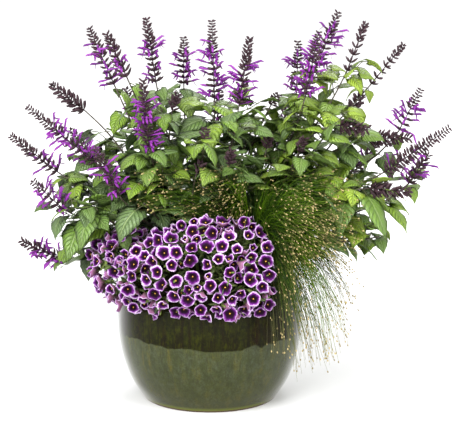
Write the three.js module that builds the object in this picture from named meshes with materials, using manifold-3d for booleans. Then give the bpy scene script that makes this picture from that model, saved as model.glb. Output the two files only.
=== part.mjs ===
// A glazed planter with salvia behind, trailing bell flowers in front on the left
// and a tuft of fountain grass in front on the right. Millimetres, +Z up, front towards -Y.
import * as THREE from 'three';
import { mergeVertices } from 'three/addons/utils/BufferGeometryUtils.js';
import Module from 'manifold-3d';

const wasm = await Module();
wasm.setup();

// Driving dimensions
const GAP = 0.3;
const POT = {
  footRadius: 138, bellyRadius: 190.5, rimRadius: 178, height: 286, wall: 15, floor: 16,
  drainRadius: 8, drainCircle: 60, segments: 24,
};
const SOIL = { edgeHeight: 256, crownHeight: 264 };
const CROWN = {
  radius: 8, depth: 24, rise: 12, chamfer: 4, topShare: 0.6, spread: 4, sprayCircle: 108, sides: 5,
};
const STEM = {
  rootRadius: 4, tipRadius: 2.6, sides: 3, outShare: 0.12, upShare: 0.42, endShare: 0.3,
  overRim: 340, shootLift: 0.35,
};
// Ranges in brackets are the lowest and the highest of a seeded draw
const LEAF = {
  length: 84, widthRatio: 0.66, petiole: 14, thickness: 0.8, fold: -0.1, small: 52,
  spacing: 62, topStop: 0.97, bareFoot: 1.1, tipLoss: 0.45, tries: 9, swing: 17, tryLoss: 0.035,
  size: [0.78, 1.08], droop: 0.06, pitch: [-5, 25], drop: [60, 120], roll: [-0.55, 0.55], turn: [-0.35, 0.35],
};
const CALYX = {
  spacing: 11.5, reach: 10, rise: 7, riseShare: 0.6, lowest: 0.3, axisRadius: 1.9, sides: 4, tipLoss: 0.55,
};
const COROLLA = {
  length: 27, radius: 3.4, rareness: 1.6, highest: 0.75, turn: [-0.4, 0.4], rise: [0.25, 0.55],
};
const BELL = {
  radius: 15, throat: 7, petals: 5, spacing: 26.5, wideSpacing: 30, draws: 5200,
  fromAzimuth: 197, toAzimuth: 302, sprays: 6,
  depth: [0.93, 1.06], tilt: [-0.3, 0.3], size: [0.86, 1], forward: 0.25,
};
const MOUND = {
  ringRadius: 172, centreHeight: 296, across: 74, up: 88, crest: 24, fromAngle: -68, toAngle: 132,
  lobe: 22, lobeAzimuth: 207, lobeWidth: 8,
};
const GRASS = {
  crown: [86, -98], needles: 54, radius: 0.85, seedRadius: 1.5, seedLength: 7,
  height: 470, fall: 400, reach: [110, 220], lift: [170, 240], outShare: 0.16, overShare: 0.85,
  fromAzimuth: -118, spanAzimuth: 250, fallAzimuth: -40, tries: 7, swing: 9,
  core: [[-24, 8], [4, 8], [80, 26], [105, 9]], stops: [0.1, 0.38, 0.7],
};
// Cells that keep the nodes clear of each other, and the spacing of the points that claim them
const CELL = 10;
const STEP = 5;

const DEG = Math.PI / 180;
const GOLDEN = 0.618034;
const vec = (p) => new THREE.Vector3(p[0], p[1], p[2]);

// Seeded draws between 0 and 1
function drawFrom(seed) {
  let state = seed;
  return () => {
    state = (state * 16807) % 2147483647;
    return state / 2147483647;
  };
}

const within = (range, share) => range[0] + (range[1] - range[0]) * share;

// Closed solids
function solidFrom(points, faces) {
  const vertProperties = new Float32Array(points.flatMap((p) => [p.x, p.y, p.z]));
  const triVerts = new Uint32Array(faces.flat());
  return new wasm.Manifold(new wasm.Mesh({ numProp: 3, vertProperties, triVerts }));
}

function solidOf(geometry) {
  const bare = geometry.clone();
  bare.deleteAttribute('normal');
  bare.deleteAttribute('uv');
  const merged = mergeVertices(bare, 1e-3);
  return new wasm.Manifold(new wasm.Mesh({
    numProp: 3,
    vertProperties: new Float32Array(merged.attributes.position.array),
    triVerts: new Uint32Array(merged.index.array),
  }));
}

function geometryOf(solid) {
  const mesh = solid.getMesh();
  const geometry = new THREE.BufferGeometry();
  geometry.setAttribute('position', new THREE.BufferAttribute(mesh.vertProperties, 3));
  geometry.setIndex(new THREE.BufferAttribute(mesh.triVerts, 1));
  geometry.computeVertexNormals();
  return geometry;
}

function fuse(solids) {
  let layer = solids;
  while (layer.length > 1) {
    const next = [];
    for (let i = 0; i < layer.length; i += 2) {
      next.push(i + 1 < layer.length ? layer[i].add(layer[i + 1]) : layer[i]);
    }
    layer = next;
  }
  return layer[0];
}

// A level direction well away from the given one, and the part of a direction that is square to it
function awayFrom(along) {
  return Math.abs(along.x) > 0.9 ? new THREE.Vector3(0, 1, 0) : new THREE.Vector3(1, 0, 0);
}

function squareTo(along, direction) {
  return direction.clone().addScaledVector(along, -direction.dot(along)).normalize();
}

// A rod through a row of points, with a radius at each; a radius of 0 makes a sharp end
function rod(points, radii, sides, lastAlong = null) {
  const rings = [];
  const vertices = [];
  const faces = [];
  let side = null;
  points.forEach((point, i) => {
    const before = points[Math.max(i - 1, 0)];
    const after = points[Math.min(i + 1, points.length - 1)];
    const last = i === points.length - 1;
    const along = last && lastAlong ? lastAlong : after.clone().sub(before).normalize();
    side = squareTo(along, side ?? awayFrom(along));
    const other = along.clone().cross(side);
    const ring = [];
    const count = radii[i] > 0 ? sides : 1;
    for (let k = 0; k < count; k += 1) {
      const angle = (2 * Math.PI * k) / sides;
      const out = side.clone().multiplyScalar(Math.cos(angle)).addScaledVector(other, Math.sin(angle));
      ring.push(vertices.length);
      vertices.push(point.clone().addScaledVector(out, radii[i]));
    }
    rings.push(ring);
  });
  for (let i = 0; i + 1 < rings.length; i += 1) {
    bridge(rings[i], rings[i + 1], faces);
  }
  capRing(rings[0], faces, true);
  capRing(rings[rings.length - 1], faces, false);
  return solidFrom(vertices, faces);
}

function bridge(low, high, faces) {
  const count = Math.max(low.length, high.length);
  for (let k = 0; k < count; k += 1) {
    const next = (k + 1) % count;
    const a = low[low.length > 1 ? k : 0];
    const b = low[low.length > 1 ? next : 0];
    const c = high[high.length > 1 ? next : 0];
    const d = high[high.length > 1 ? k : 0];
    if (a !== b) faces.push([a, b, c]);
    if (c !== d) faces.push([a, c, d]);
  }
}

function capRing(ring, faces, low) {
  for (let k = 1; k + 1 < ring.length; k += 1) {
    faces.push(low ? [ring[0], ring[k + 1], ring[k]] : [ring[0], ring[k], ring[k + 1]]);
  }
}

// Who holds each small cell of space, so that nodes keep clear of each other
const near = new Map();
const taken = new Map();
const OWNER = { spikes: 1 << 20, bells: 1 << 21, grass: 1 << 22 };

function cellKey(x, y, z) {
  return (x + 200) * 1000000 + (y + 200) * 1000 + (z + 200);
}

function claim(points, owner) {
  for (const p of points) {
    const x = Math.floor(p.x / CELL);
    const y = Math.floor(p.y / CELL);
    const z = Math.floor(p.z / CELL);
    taken.set(cellKey(x, y, z), (taken.get(cellKey(x, y, z)) ?? 0) | owner);
    for (let i = -1; i <= 1; i += 1) {
      for (let j = -1; j <= 1; j += 1) {
        for (let k = -1; k <= 1; k += 1) {
          const key = cellKey(x + i, y + j, z + k);
          near.set(key, (near.get(key) ?? 0) | owner);
        }
      }
    }
  }
}

function isFree(points, owner) {
  return points.every((p) => {
    const key = cellKey(Math.floor(p.x / CELL), Math.floor(p.y / CELL), Math.floor(p.z / CELL));
    return ((near.get(key) ?? 0) & ~owner) === 0 && ((taken.get(key) ?? 0) & owner) === 0;
  });
}

function isOpen(points, owner) {
  return points.every((p) => {
    const key = cellKey(Math.floor(p.x / CELL), Math.floor(p.y / CELL), Math.floor(p.z / CELL));
    return ((taken.get(key) ?? 0) & ~owner) === 0;
  });
}

function clearsPot(p) {
  const radius = Math.hypot(p.x, p.y);
  if (p.z > POT.height + 6) return true;
  if (p.z > SOIL.crownHeight + 5 && radius < POT.rimRadius - POT.wall - 8) return true;
  return radius > POT.bellyRadius + 7 && p.z > 12;
}

// Points along a row of straight pieces, no further apart than STEP
function samplesAlong(points) {
  const samples = [points[0]];
  for (let i = 1; i < points.length; i += 1) {
    const count = Math.ceil(points[i - 1].distanceTo(points[i]) / STEP);
    for (let k = 1; k <= count; k += 1) samples.push(points[i - 1].clone().lerp(points[i], k / count));
  }
  return samples;
}

// Nodes of the finished plant
const group = new THREE.Group();

function addNode(name, solid, colour, roughness) {
  const material = new THREE.MeshStandardMaterial({ color: colour, roughness, metalness: 0 });
  const mesh = new THREE.Mesh(geometryOf(solid), material);
  mesh.name = name;
  group.add(mesh);
}

// The salvia: a crown in the soil for each plant part, with its flowering stems and leafy shoots.
// Each flowering stem has the place where its spike starts, the spike's tip and its open corollas.
const BRANCHES = [
  { name: 'left_low', root: [-118, -8], flowers: [
    { foot: [-295, -60, 405], tip: [-355, -75, 465], corollas: 4 },
    { foot: [-305, -20, 290], tip: [-385, -25, 330], corollas: 4 },
    { foot: [-310, 15, 465], tip: [-405, 20, 540], corollas: 2 },
  ], shoots: [[-275, 10, 330], [-250, -80, 410]] },
  { name: 'left', root: [-95, 50], flowers: [
    { foot: [-230, -35, 495], tip: [-365, -40, 610], corollas: 5 },
    { foot: [-260, 115, 575], tip: [-330, 140, 625], corollas: 0 },
  ], shoots: [[-290, 80, 420], [-240, 30, 430]] },
  { name: 'left_inner', root: [-68, 2], flowers: [
    { foot: [-180, -95, 440], tip: [-225, -120, 540], corollas: 3 },
    { foot: [-165, -20, 665], tip: [-205, -20, 755], corollas: 2 },
    { foot: [-195, 50, 640], tip: [-245, 60, 755], corollas: 3 },
  ], shoots: [[-130, -120, 430]] },
  { name: 'middle_left', root: [-35, 45], flowers: [
    { foot: [-110, 70, 640], tip: [-130, 90, 770], corollas: 3 },
    { foot: [-120, -85, 535], tip: [-130, -110, 675], corollas: 7 },
    { foot: [-55, 150, 625], tip: [-55, 180, 720], corollas: 4 },
    { foot: [-75, -40, 600], tip: [-65, -40, 635], corollas: 0 },
  ], shoots: [] },
  { name: 'middle', root: [0, 0], flowers: [
    { foot: [10, 25, 615], tip: [5, 30, 775], corollas: 5 },
    { foot: [60, -20, 610], tip: [80, -20, 745], corollas: 4 },
    { foot: [40, -110, 505], tip: [45, -120, 535], corollas: 0 },
    { foot: [-10, -90, 550], tip: [-5, -90, 575], corollas: 0 },
    { foot: [-25, -130, 490], tip: [-15, -130, 512], corollas: 0 },
  ], shoots: [] },
  { name: 'middle_right', root: [35, 50], flowers: [
    { foot: [180, 160, 595], tip: [185, 190, 710], corollas: 3 },
    { foot: [220, 100, 670], tip: [265, 120, 780], corollas: 7 },
    { foot: [125, 60, 595], tip: [140, 60, 620], corollas: 0 },
  ], shoots: [[90, 40, 560]] },
  { name: 'right_inner', root: [70, 0], flowers: [
    { foot: [195, 10, 625], tip: [220, 10, 755], corollas: 4 },
    { foot: [280, 45, 670], tip: [315, 60, 760], corollas: 0 },
    { foot: [180, -55, 520], tip: [190, -60, 550], corollas: 0 },
    { foot: [115, -20, 520], tip: [120, -20, 550], corollas: 0 },
  ], shoots: [[210, -50, 440]] },
  { name: 'right', root: [105, 40], flowers: [
    { foot: [335, 125, 630], tip: [400, 150, 705], corollas: 0 },
    { foot: [390, 75, 540], tip: [435, 90, 625], corollas: 4 },
    { foot: [295, 210, 545], tip: [320, 230, 595], corollas: 0 },
  ], shoots: [[310, 60, 500]] },
  { name: 'right_front', root: [125, -15], flowers: [
    { foot: [260, -55, 575], tip: [315, -80, 570], corollas: 0 },
    { foot: [320, 10, 535], tip: [410, 20, 535], corollas: 0 },
    { foot: [355, -30, 475], tip: [485, -30, 565], corollas: 1 },
  ], shoots: [[280, -30, 430]] },
  { name: 'right_low', root: [124, -52], flowers: [
    { foot: [410, 65, 430], tip: [450, 70, 490], corollas: 3 },
    { foot: [320, -75, 450], tip: [400, -90, 445], corollas: 0 },
  ], shoots: [[345, -30, 340], [330, 40, 330]] },
  { name: 'back_left', root: [-70, 105], flowers: [
    { foot: [-150, 215, 510], tip: [-180, 250, 600], corollas: 3 },
    { foot: [-235, 190, 440], tip: [-300, 225, 515], corollas: 2 },
  ], shoots: [[-200, 170, 360], [-120, 250, 380]] },
  { name: 'back_middle', root: [10, 112], flowers: [
    { foot: [10, 245, 500], tip: [20, 295, 590], corollas: 3 },
  ], shoots: [[-50, 270, 390], [70, 260, 370]] },
  { name: 'back_right', root: [85, 100], flowers: [
    { foot: [140, 240, 470], tip: [165, 285, 560], corollas: 3 },
    { foot: [290, 200, 420], tip: [355, 230, 480], corollas: 2 },
  ], shoots: [[170, 250, 340], [240, 160, 370]] },
];
const DARK = 0x2b1a33;
const GREEN = 0x5c8a36;

// A stem leaves its crown upwards and ends in line with its spike
function stemCurve(root, foot, tip) {
  const end = vec(foot);
  const away = Math.atan2(end.y - root[1], end.x - root[0]);
  const start = new THREE.Vector3(
    root[0] + CROWN.spread * Math.cos(away),
    root[1] + CROWN.spread * Math.sin(away),
    SOIL.crownHeight + CROWN.rise / 3,
  );
  const reach = start.distanceTo(end);
  const shootHeading = new THREE.Vector3(
    (end.x - start.x) / reach, (end.y - start.y) / reach, STEM.shootLift,
  );
  const heading = (tip ? vec(tip).sub(end) : shootHeading).normalize();
  const rise = start.clone();
  rise.x += (end.x - start.x) * STEM.outShare;
  rise.y += (end.y - start.y) * STEM.outShare;
  rise.z += reach * STEM.upShare + Math.max(0, STEM.overRim - end.z);
  const bend = end.clone().addScaledVector(heading, -reach * STEM.endShare);
  return new THREE.CubicBezierCurve3(start, rise, bend, end);
}

// Places of the leaf pairs along a stem, as shares of its curve
function leafStops(curve) {
  const length = curve.getLength();
  const pairs = Math.max(1, Math.floor((LEAF.topStop * length) / LEAF.spacing - LEAF.bareFoot));
  return Array.from({ length: pairs }, (unused, i) => (
    LEAF.topStop - ((pairs - 1 - i) * LEAF.spacing) / length
  ));
}

// The stem bends halfway up to its first leaf pair and halfway between its pairs
function stemBends(curve) {
  const stops = leafStops(curve);
  const between = stops.slice(1).map((t, i) => (stops[i] + t) / 2);
  return [0, stops[0] / 2, ...between, 1];
}

function stemPoints(curve) {
  return stemBends(curve).map((t) => curve.getPoint(t));
}

function stemSolid(curve) {
  const radii = stemBends(curve).map((t) => STEM.rootRadius + (STEM.tipRadius - STEM.rootRadius) * t);
  const end = curve.v3.clone().sub(curve.v2).normalize();
  return rod(stemPoints(curve), radii, STEM.sides, end);
}

function pointOnStem(curve, t) {
  const bends = stemBends(curve);
  const i = bends.findIndex((bend, k) => k > 0 && bend >= t);
  const share = (t - bends[i - 1]) / (bends[i] - bends[i - 1]);
  return curve.getPoint(bends[i - 1]).lerp(curve.getPoint(bends[i]), share);
}

function crownSolid(x, y) {
  const heights = [-CROWN.depth, CROWN.rise - CROWN.chamfer, CROWN.rise];
  const points = heights.map((height) => new THREE.Vector3(x, y, SOIL.crownHeight + height));
  return rod(points, [CROWN.radius, CROWN.radius, CROWN.radius * CROWN.topShare], CROWN.sides);
}

// A spike: whorls of pointed calyces on a thin axis, smaller to the tip
function spikeSolid(foot, tip, corollas, draw) {
  const start = vec(foot);
  const end = vec(tip);
  const length = start.distanceTo(end);
  const along = end.clone().sub(start).normalize();
  const side = squareTo(along, awayFrom(along));
  const other = along.clone().cross(side);
  const place = (height, radius, angle) => start.clone()
    .addScaledVector(along, height)
    .addScaledVector(side, radius * Math.cos(angle))
    .addScaledVector(other, radius * Math.sin(angle));
  const whorls = Math.max(2, Math.round(length / CALYX.spacing));
  const vertices = [];
  const faces = [];
  const rings = [];
  const solids = [];
  const quarter = (2 * Math.PI) / CALYX.sides;
  const addRing = (height, radiusAt, heightAt) => {
    const ring = [];
    for (let k = 0; k < CALYX.sides; k += 1) {
      ring.push(vertices.length);
      vertices.push(place(height + heightAt(k), radiusAt(k), k * quarter));
    }
    rings.push(ring);
  };
  addRing(GAP, () => CALYX.axisRadius, () => 0);
  for (let i = 0; i < whorls; i += 1) {
    const share = i / whorls;
    const size = 1 - CALYX.tipLoss * share * share;
    const height = (share + CALYX.lowest / whorls) * length;
    const open = (k) => (k + i) % 2 === 0;
    addRing(
      height,
      (k) => (open(k) ? CALYX.reach * size : CALYX.axisRadius * size),
      (k) => (open(k) ? Math.min(CALYX.rise, (CALYX.riseShare * length) / whorls) * size : 0),
    );
    for (let c = 0; c < 2; c += 1) {
      const angle = ((i % 2) + c * 2) * quarter + within(COROLLA.turn, draw());
      const lift = draw();
      const wanted = draw() * whorls * COROLLA.rareness < corollas;
      if (wanted && share < COROLLA.highest) {
        solids.push(corollaSolid(place, height - CALYX.axisRadius, angle, size, lift));
      }
    }
  }
  rings.push([vertices.length]);
  vertices.push(end);
  for (let i = 0; i + 1 < rings.length; i += 1) bridge(rings[i], rings[i + 1], faces);
  capRing(rings[0], faces, true);
  return fuse([solidFrom(vertices, faces), ...solids]);
}

// A corolla: a tube that swells towards its hooked upper lip
function corollaSolid(place, height, angle, size, lift) {
  const length = COROLLA.length * (0.75 + 0.25 * size);
  const rise = length * within(COROLLA.rise, lift);
  const points = [
    place(height, -0.8, angle),
    place(height + rise, length * 0.75, angle),
    place(height + rise * 0.9, length, angle),
  ];
  return rod(points, [0, COROLLA.radius, 0], 3);
}

BRANCHES.forEach((branch, index) => {
  branch.owner = 1 << index;
  branch.curves = [];
  branch.draw = drawFrom(1000 + 77 * index);
  for (const flower of branch.flowers) {
    const curve = stemCurve(branch.root, flower.foot, flower.tip);
    branch.curves.push(curve);
    claim(samplesAlong(stemPoints(curve)), branch.owner);
    const axis = [vec(flower.foot), vec(flower.tip)];
    const across = axis[0].clone().sub(axis[1]).cross(new THREE.Vector3(0, 0, 1));
    across.normalize().multiplyScalar(0.6 * CALYX.reach);
    for (const p of samplesAlong(axis)) {
      claim([p.clone().add(across), p.clone().sub(across)], OWNER.spikes);
    }
  }
  for (const shoot of branch.shoots) {
    const curve = stemCurve(branch.root, shoot, null);
    branch.curves.push(curve);
    claim(samplesAlong(stemPoints(curve)), branch.owner);
  }
});

// Trailing bell flowers: sprays side by side that hang over the rim, each with a leafy core.
// The mound is an ellipse in section, carried round the front left of the rim.
function moundPoint(azimuth, angle, scale) {
  const fromLobe = (azimuth / DEG - MOUND.lobeAzimuth) / MOUND.lobeWidth;
  const lobe = MOUND.lobe * Math.exp(-(fromLobe ** 2)) * Math.max(0, Math.cos(angle));
  const radius = MOUND.ringRadius + MOUND.across * scale * Math.cos(angle) + lobe;
  const crest = MOUND.up + MOUND.crest * Math.sin((azimuth / DEG - 200) * DEG * 1.5);
  return new THREE.Vector3(
    radius * Math.cos(azimuth),
    radius * Math.sin(azimuth),
    MOUND.centreHeight + (angle > 0 ? crest : MOUND.up) * scale * Math.sin(angle),
  );
}

function moundNormal(azimuth, angle) {
  const out = Math.cos(angle) / MOUND.across + 0.003;
  return new THREE.Vector3(out * Math.cos(azimuth), out * Math.sin(azimuth), Math.sin(angle) / MOUND.up)
    .normalize();
}

// The leafy core that a spray's flowers grow from: its section stays clear of the rim
const CORE = [
  { angle: 132, radius: 127, height: 322, size: 15 },
  { angle: 92, radius: 164, height: 349, size: 26 },
  { angle: 45, radius: 200, height: 331, size: 27 },
  { angle: 0, radius: 211, height: 294, size: 20 },
  { angle: -40, radius: 207, height: 255, size: 14 },
  { angle: -68, radius: 203, height: 232, size: 7 },
];

function corePoint(azimuth, stop) {
  return new THREE.Vector3(stop.radius * Math.cos(azimuth), stop.radius * Math.sin(azimuth), stop.height);
}

function coreAt(azimuth, angleInDegrees) {
  const i = Math.max(1, CORE.findIndex((stop) => stop.angle <= angleInDegrees));
  const share = (CORE[i - 1].angle - angleInDegrees) / (CORE[i - 1].angle - CORE[i].angle);
  return corePoint(azimuth, CORE[i - 1]).lerp(corePoint(azimuth, CORE[i]), share);
}

const sprayWidth = ((BELL.toAzimuth - BELL.fromAzimuth) * DEG) / BELL.sprays;
const sprays = Array.from({ length: BELL.sprays }, (unused, i) => ({
  azimuth: BELL.fromAzimuth * DEG + (i + 0.5) * sprayWidth,
  bells: [],
}));

function bellRim(bell, spray) {
  const level = new THREE.Vector3(-Math.sin(spray.azimuth), Math.cos(spray.azimuth), 0);
  const side = squareTo(bell.normal, level);
  const other = bell.normal.clone().cross(side);
  return Array.from({ length: BELL.petals }, (unused, k) => {
    const angle = bell.turn + (2 * k * Math.PI) / BELL.petals;
    return bell.centre.clone()
      .addScaledVector(side, BELL.radius * bell.size * Math.cos(angle))
      .addScaledVector(other, BELL.radius * bell.size * Math.sin(angle));
  });
}

// A bell is a five sided funnel, open to the outside, that narrows to its root in the core
function bellSolid(bell, spray) {
  const throat = bell.centre.clone().addScaledVector(bell.normal, -BELL.throat);
  const vertices = [throat, coreAt(spray.azimuth, bell.angle / DEG), ...bellRim(bell, spray)];
  const faces = [];
  for (let k = 0; k < BELL.petals; k += 1) {
    const next = 2 + ((k + 1) % BELL.petals);
    faces.push([0, 2 + k, next], [1, next, 2 + k]);
  }
  return solidFrom(vertices, faces);
}

function coreSolid(spray) {
  const stalk = [-CROWN.depth, 1, 8].map((rise) => (
    { radius: CROWN.sprayCircle, height: SOIL.crownHeight + rise, size: CROWN.radius }
  ));
  const stops = [...stalk, ...CORE];
  const points = stops.map((stop) => corePoint(spray.azimuth, stop));
  return rod(points, stops.map((stop) => stop.size), CROWN.sides);
}

const bellDraw = drawFrom(4242);
for (let n = 0; n < BELL.draws; n += 1) {
  const azimuth = (BELL.fromAzimuth + (BELL.toAzimuth - BELL.fromAzimuth) * bellDraw()) * DEG;
  const angle = (MOUND.fromAngle + (MOUND.toAngle - MOUND.fromAngle) * bellDraw()) * DEG;
  const depth = within(BELL.depth, bellDraw());
  const tilt = [bellDraw(), bellDraw(), bellDraw()].map((share) => within(BELL.tilt, share));
  const size = within(BELL.size, bellDraw());
  const turn = bellDraw() * 2 * Math.PI;
  const home = Math.min(Math.floor((azimuth - BELL.fromAzimuth * DEG) / sprayWidth), BELL.sprays - 1);
  const centre = moundPoint(azimuth, angle, depth);
  const normal = moundNormal(azimuth, angle).add(vec(tilt));
  normal.y -= BELL.forward;
  normal.normalize();
  const fits = sprays.every((spray, i) => spray.bells.every((other) => (
    other.centre.distanceTo(centre) > (i === home ? BELL.spacing : BELL.wideSpacing)
  )));
  if (fits && clearsPot(centre) && isFree([centre], OWNER.bells)) {
    sprays[home].bells.push({ centre, normal, angle, size, turn });
  }
}
for (const spray of sprays) {
  for (const stop of CORE) {
    for (let k = 0; k < 12; k += 1) {
      const side = stop.size * Math.cos((k * Math.PI) / 6);
      const up = stop.size * Math.sin((k * Math.PI) / 6);
      const offset = new THREE.Vector3(
        -side * Math.sin(spray.azimuth), side * Math.cos(spray.azimuth), up,
      );
      claim([corePoint(spray.azimuth, stop).add(offset)], OWNER.bells);
    }
  }
  for (const bell of spray.bells) {
    const rim = bellRim(bell, spray);
    claim([bell.centre, ...rim], OWNER.bells);
    claim(rim.flatMap((p) => samplesAlong([p, coreAt(spray.azimuth, bell.angle / DEG)])), OWNER.bells);
  }
}

// Fountain grass: one tuft, with a slim core and needles that end in small seed heads
function needleCurve(tip, lift) {
  const out = Math.atan2(tip.y - GRASS.crown[1], tip.x - GRASS.crown[0]);
  const start = new THREE.Vector3(
    GRASS.crown[0] + 3 * Math.cos(out), GRASS.crown[1] + 3 * Math.sin(out), SOIL.crownHeight + 10,
  );
  const first = start.clone();
  first.x += (tip.x - start.x) * GRASS.outShare;
  first.y += (tip.y - start.y) * GRASS.outShare;
  first.z += lift;
  const second = tip.clone();
  second.x -= (tip.x - start.x) * 0.1;
  second.y -= (tip.y - start.y) * 0.1;
  second.z += Math.max(20, (first.z - tip.z) * GRASS.overShare);
  return new THREE.CubicBezierCurve3(start, first, second, tip);
}

function needlePoints(curve) {
  const tip = curve.getPoint(1);
  const along = tip.clone().sub(curve.getPoint(0.95)).normalize();
  const seed = tip.clone().addScaledVector(along, -GRASS.seedLength / 2);
  return [...GRASS.stops.map((t) => curve.getPoint(t)), seed, tip];
}

function needleSolid(points) {
  const radii = [...GRASS.stops.map(() => GRASS.radius), GRASS.seedRadius, 0];
  return rod(points, radii, 3);
}

const needles = [];
const grassDraw = drawFrom(909);
for (let n = 0; n < GRASS.needles; n += 1) {
  const azimuth = GRASS.fromAzimuth + GRASS.spanAzimuth * ((n * GOLDEN) % 1);
  const fall = GRASS.fall * grassDraw();
  const reach = within(GRASS.reach, grassDraw());
  const lift = within(GRASS.lift, grassDraw());
  const front = Math.max(0, Math.cos((azimuth - GRASS.fallAzimuth) * DEG));
  const height = GRASS.height - fall * front ** 0.7;
  for (let attempt = 0; attempt < GRASS.tries; attempt += 1) {
    const swing = (attempt % 2 ? 1 : -1) * Math.ceil(attempt / 2) * GRASS.swing;
    const turned = (azimuth + swing) * DEG;
    const tip = new THREE.Vector3(
      GRASS.crown[0] + reach * Math.cos(turned), GRASS.crown[1] + reach * Math.sin(turned), height,
    );
    const points = needlePoints(needleCurve(tip, lift));
    const samples = samplesAlong(points);
    if (samples.every(clearsPot) && isOpen(samples, OWNER.grass)) {
      needles.push(points);
      claim(samples, OWNER.grass);
      break;
    }
  }
}

// Salvia leaves: opposite pairs, each pair turned from the one below
function leafPoint(leaf, along, across, raise) {
  const curl = (leaf.pitchEnd - leaf.pitch) / (leaf.petiole + leaf.length);
  const angle = leaf.pitch + curl * along;
  const run = (Math.sin(angle) - Math.sin(leaf.pitch)) / curl;
  const rise = (Math.cos(leaf.pitch) - Math.cos(angle)) / curl;
  const ahead = [Math.cos(leaf.heading), Math.sin(leaf.heading)];
  const side = new THREE.Vector3(ahead[1], -ahead[0], 0);
  const normal = new THREE.Vector3(
    -ahead[0] * Math.sin(angle), -ahead[1] * Math.sin(angle), Math.cos(angle),
  );
  const up = raise + LEAF.fold * Math.abs(across);
  const sideways = across * Math.cos(leaf.roll) - up * Math.sin(leaf.roll);
  const upwards = across * Math.sin(leaf.roll) + up * Math.cos(leaf.roll);
  return new THREE.Vector3(ahead[0] * run, ahead[1] * run, rise)
    .add(leaf.root)
    .addScaledVector(side, sideways)
    .addScaledVector(normal, upwards);
}

function leafHalfWidth(leaf, share) {
  const shape = Math.min(1, 0.5 + 2.6 * share) * Math.max(0, 1 - share) ** 0.55 * 1.12;
  return 0.5 * LEAF.widthRatio * leaf.length * shape;
}

function leafSamples(leaf) {
  const points = [];
  for (let along = leaf.petiole; along <= leaf.petiole + leaf.length; along += STEP) {
    const half = leafHalfWidth(leaf, (along - leaf.petiole) / leaf.length);
    const count = Math.ceil(half / STEP);
    for (let k = -count; k <= count; k += 1) points.push(leafPoint(leaf, along, (half * k) / count, 0));
  }
  return points;
}

// The blade has a heart-shaped base and coarse teeth, and stands highest along its midrib
function leafSolid(leaf) {
  const width = (share, tooth) => [share, tooth * leafHalfWidth(leaf, share)];
  const small = leaf.length < LEAF.small;
  const teeth = small ? [width(0.3, 1.04)] : [width(0.22, 1.04), width(0.4, 0.8), width(0.54, 0.98)];
  const edge = [[0, 1.8], [-0.05, 0.44 * leafHalfWidth(leaf, 0.2)], ...teeth];
  const vertices = [
    leafPoint(leaf, -1, 0, 0),
    leafPoint(leaf, leaf.petiole + leaf.length, 0, 0),
    leafPoint(leaf, leaf.petiole + 0.04 * leaf.length, 0, LEAF.thickness * 2),
    leafPoint(leaf, leaf.petiole + 0.5 * leaf.length, 0, LEAF.thickness),
  ];
  const faces = [];
  const rims = [1, -1].map((hand) => {
    const rim = [0];
    for (const [share, across] of edge) {
      rim.push(vertices.length);
      vertices.push(leafPoint(leaf, leaf.petiole + share * leaf.length, hand * across, 0));
    }
    rim.push(1);
    return rim;
  });
  rims.forEach((rim, hand) => {
    const add = (a, b, c) => faces.push(hand === 0 ? [a, b, c] : [a, c, b]);
    for (let i = 0; i + 1 < rim.length; i += 1) {
      add(i < 3 ? 2 : 3, rim[i], rim[i + 1]);
      if (i === 2) add(2, rim[3], 3);
    }
  });
  const [right, left] = rims;
  for (let i = 0; i + 1 < right.length; i += 1) {
    if (i > 0) faces.push([left[i], right[i + 1], right[i]]);
    if (i + 2 < right.length) faces.push([left[i], left[i + 1], right[i + 1]]);
  }
  return solidFrom(vertices, faces);
}

function growLeaves(branch) {
  const leaves = [];
  for (const curve of branch.curves) {
    const startTurn = branch.draw() * Math.PI;
    const stops = leafStops(curve);
    for (let i = 0; i < stops.length; i += 1) {
      const t = stops[i];
      const place = pointOnStem(curve, t);
      for (const opposite of [0, Math.PI]) {
        const heading = startTurn + opposite + (i * Math.PI) / 2 + within(LEAF.turn, branch.draw());
        const size = (1 - LEAF.tipLoss * t ** 3) * within(LEAF.size, branch.draw());
        const pitch = within(LEAF.pitch, branch.draw()) * DEG;
        const drop = within(LEAF.drop, branch.draw()) * DEG;
        const roll = within(LEAF.roll, branch.draw());
        for (let attempt = 0; attempt < LEAF.tries; attempt += 1) {
          const swing = (attempt % 2 ? 1 : -1) * Math.ceil(attempt / 2) * LEAF.swing * DEG;
          const leaf = {
            root: place,
            heading: heading + swing,
            pitch,
            pitchEnd: pitch - drop - LEAF.droop * attempt,
            roll,
            length: LEAF.length * size * (1 - LEAF.tryLoss * attempt),
            petiole: LEAF.petiole,
          };
          const samples = leafSamples(leaf);
          if (samples.every(clearsPot) && isFree(samples, branch.owner)) {
            claim(samples, branch.owner);
            leaves.push(leaf);
            break;
          }
        }
      }
    }
  }
  return leaves;
}

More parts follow.
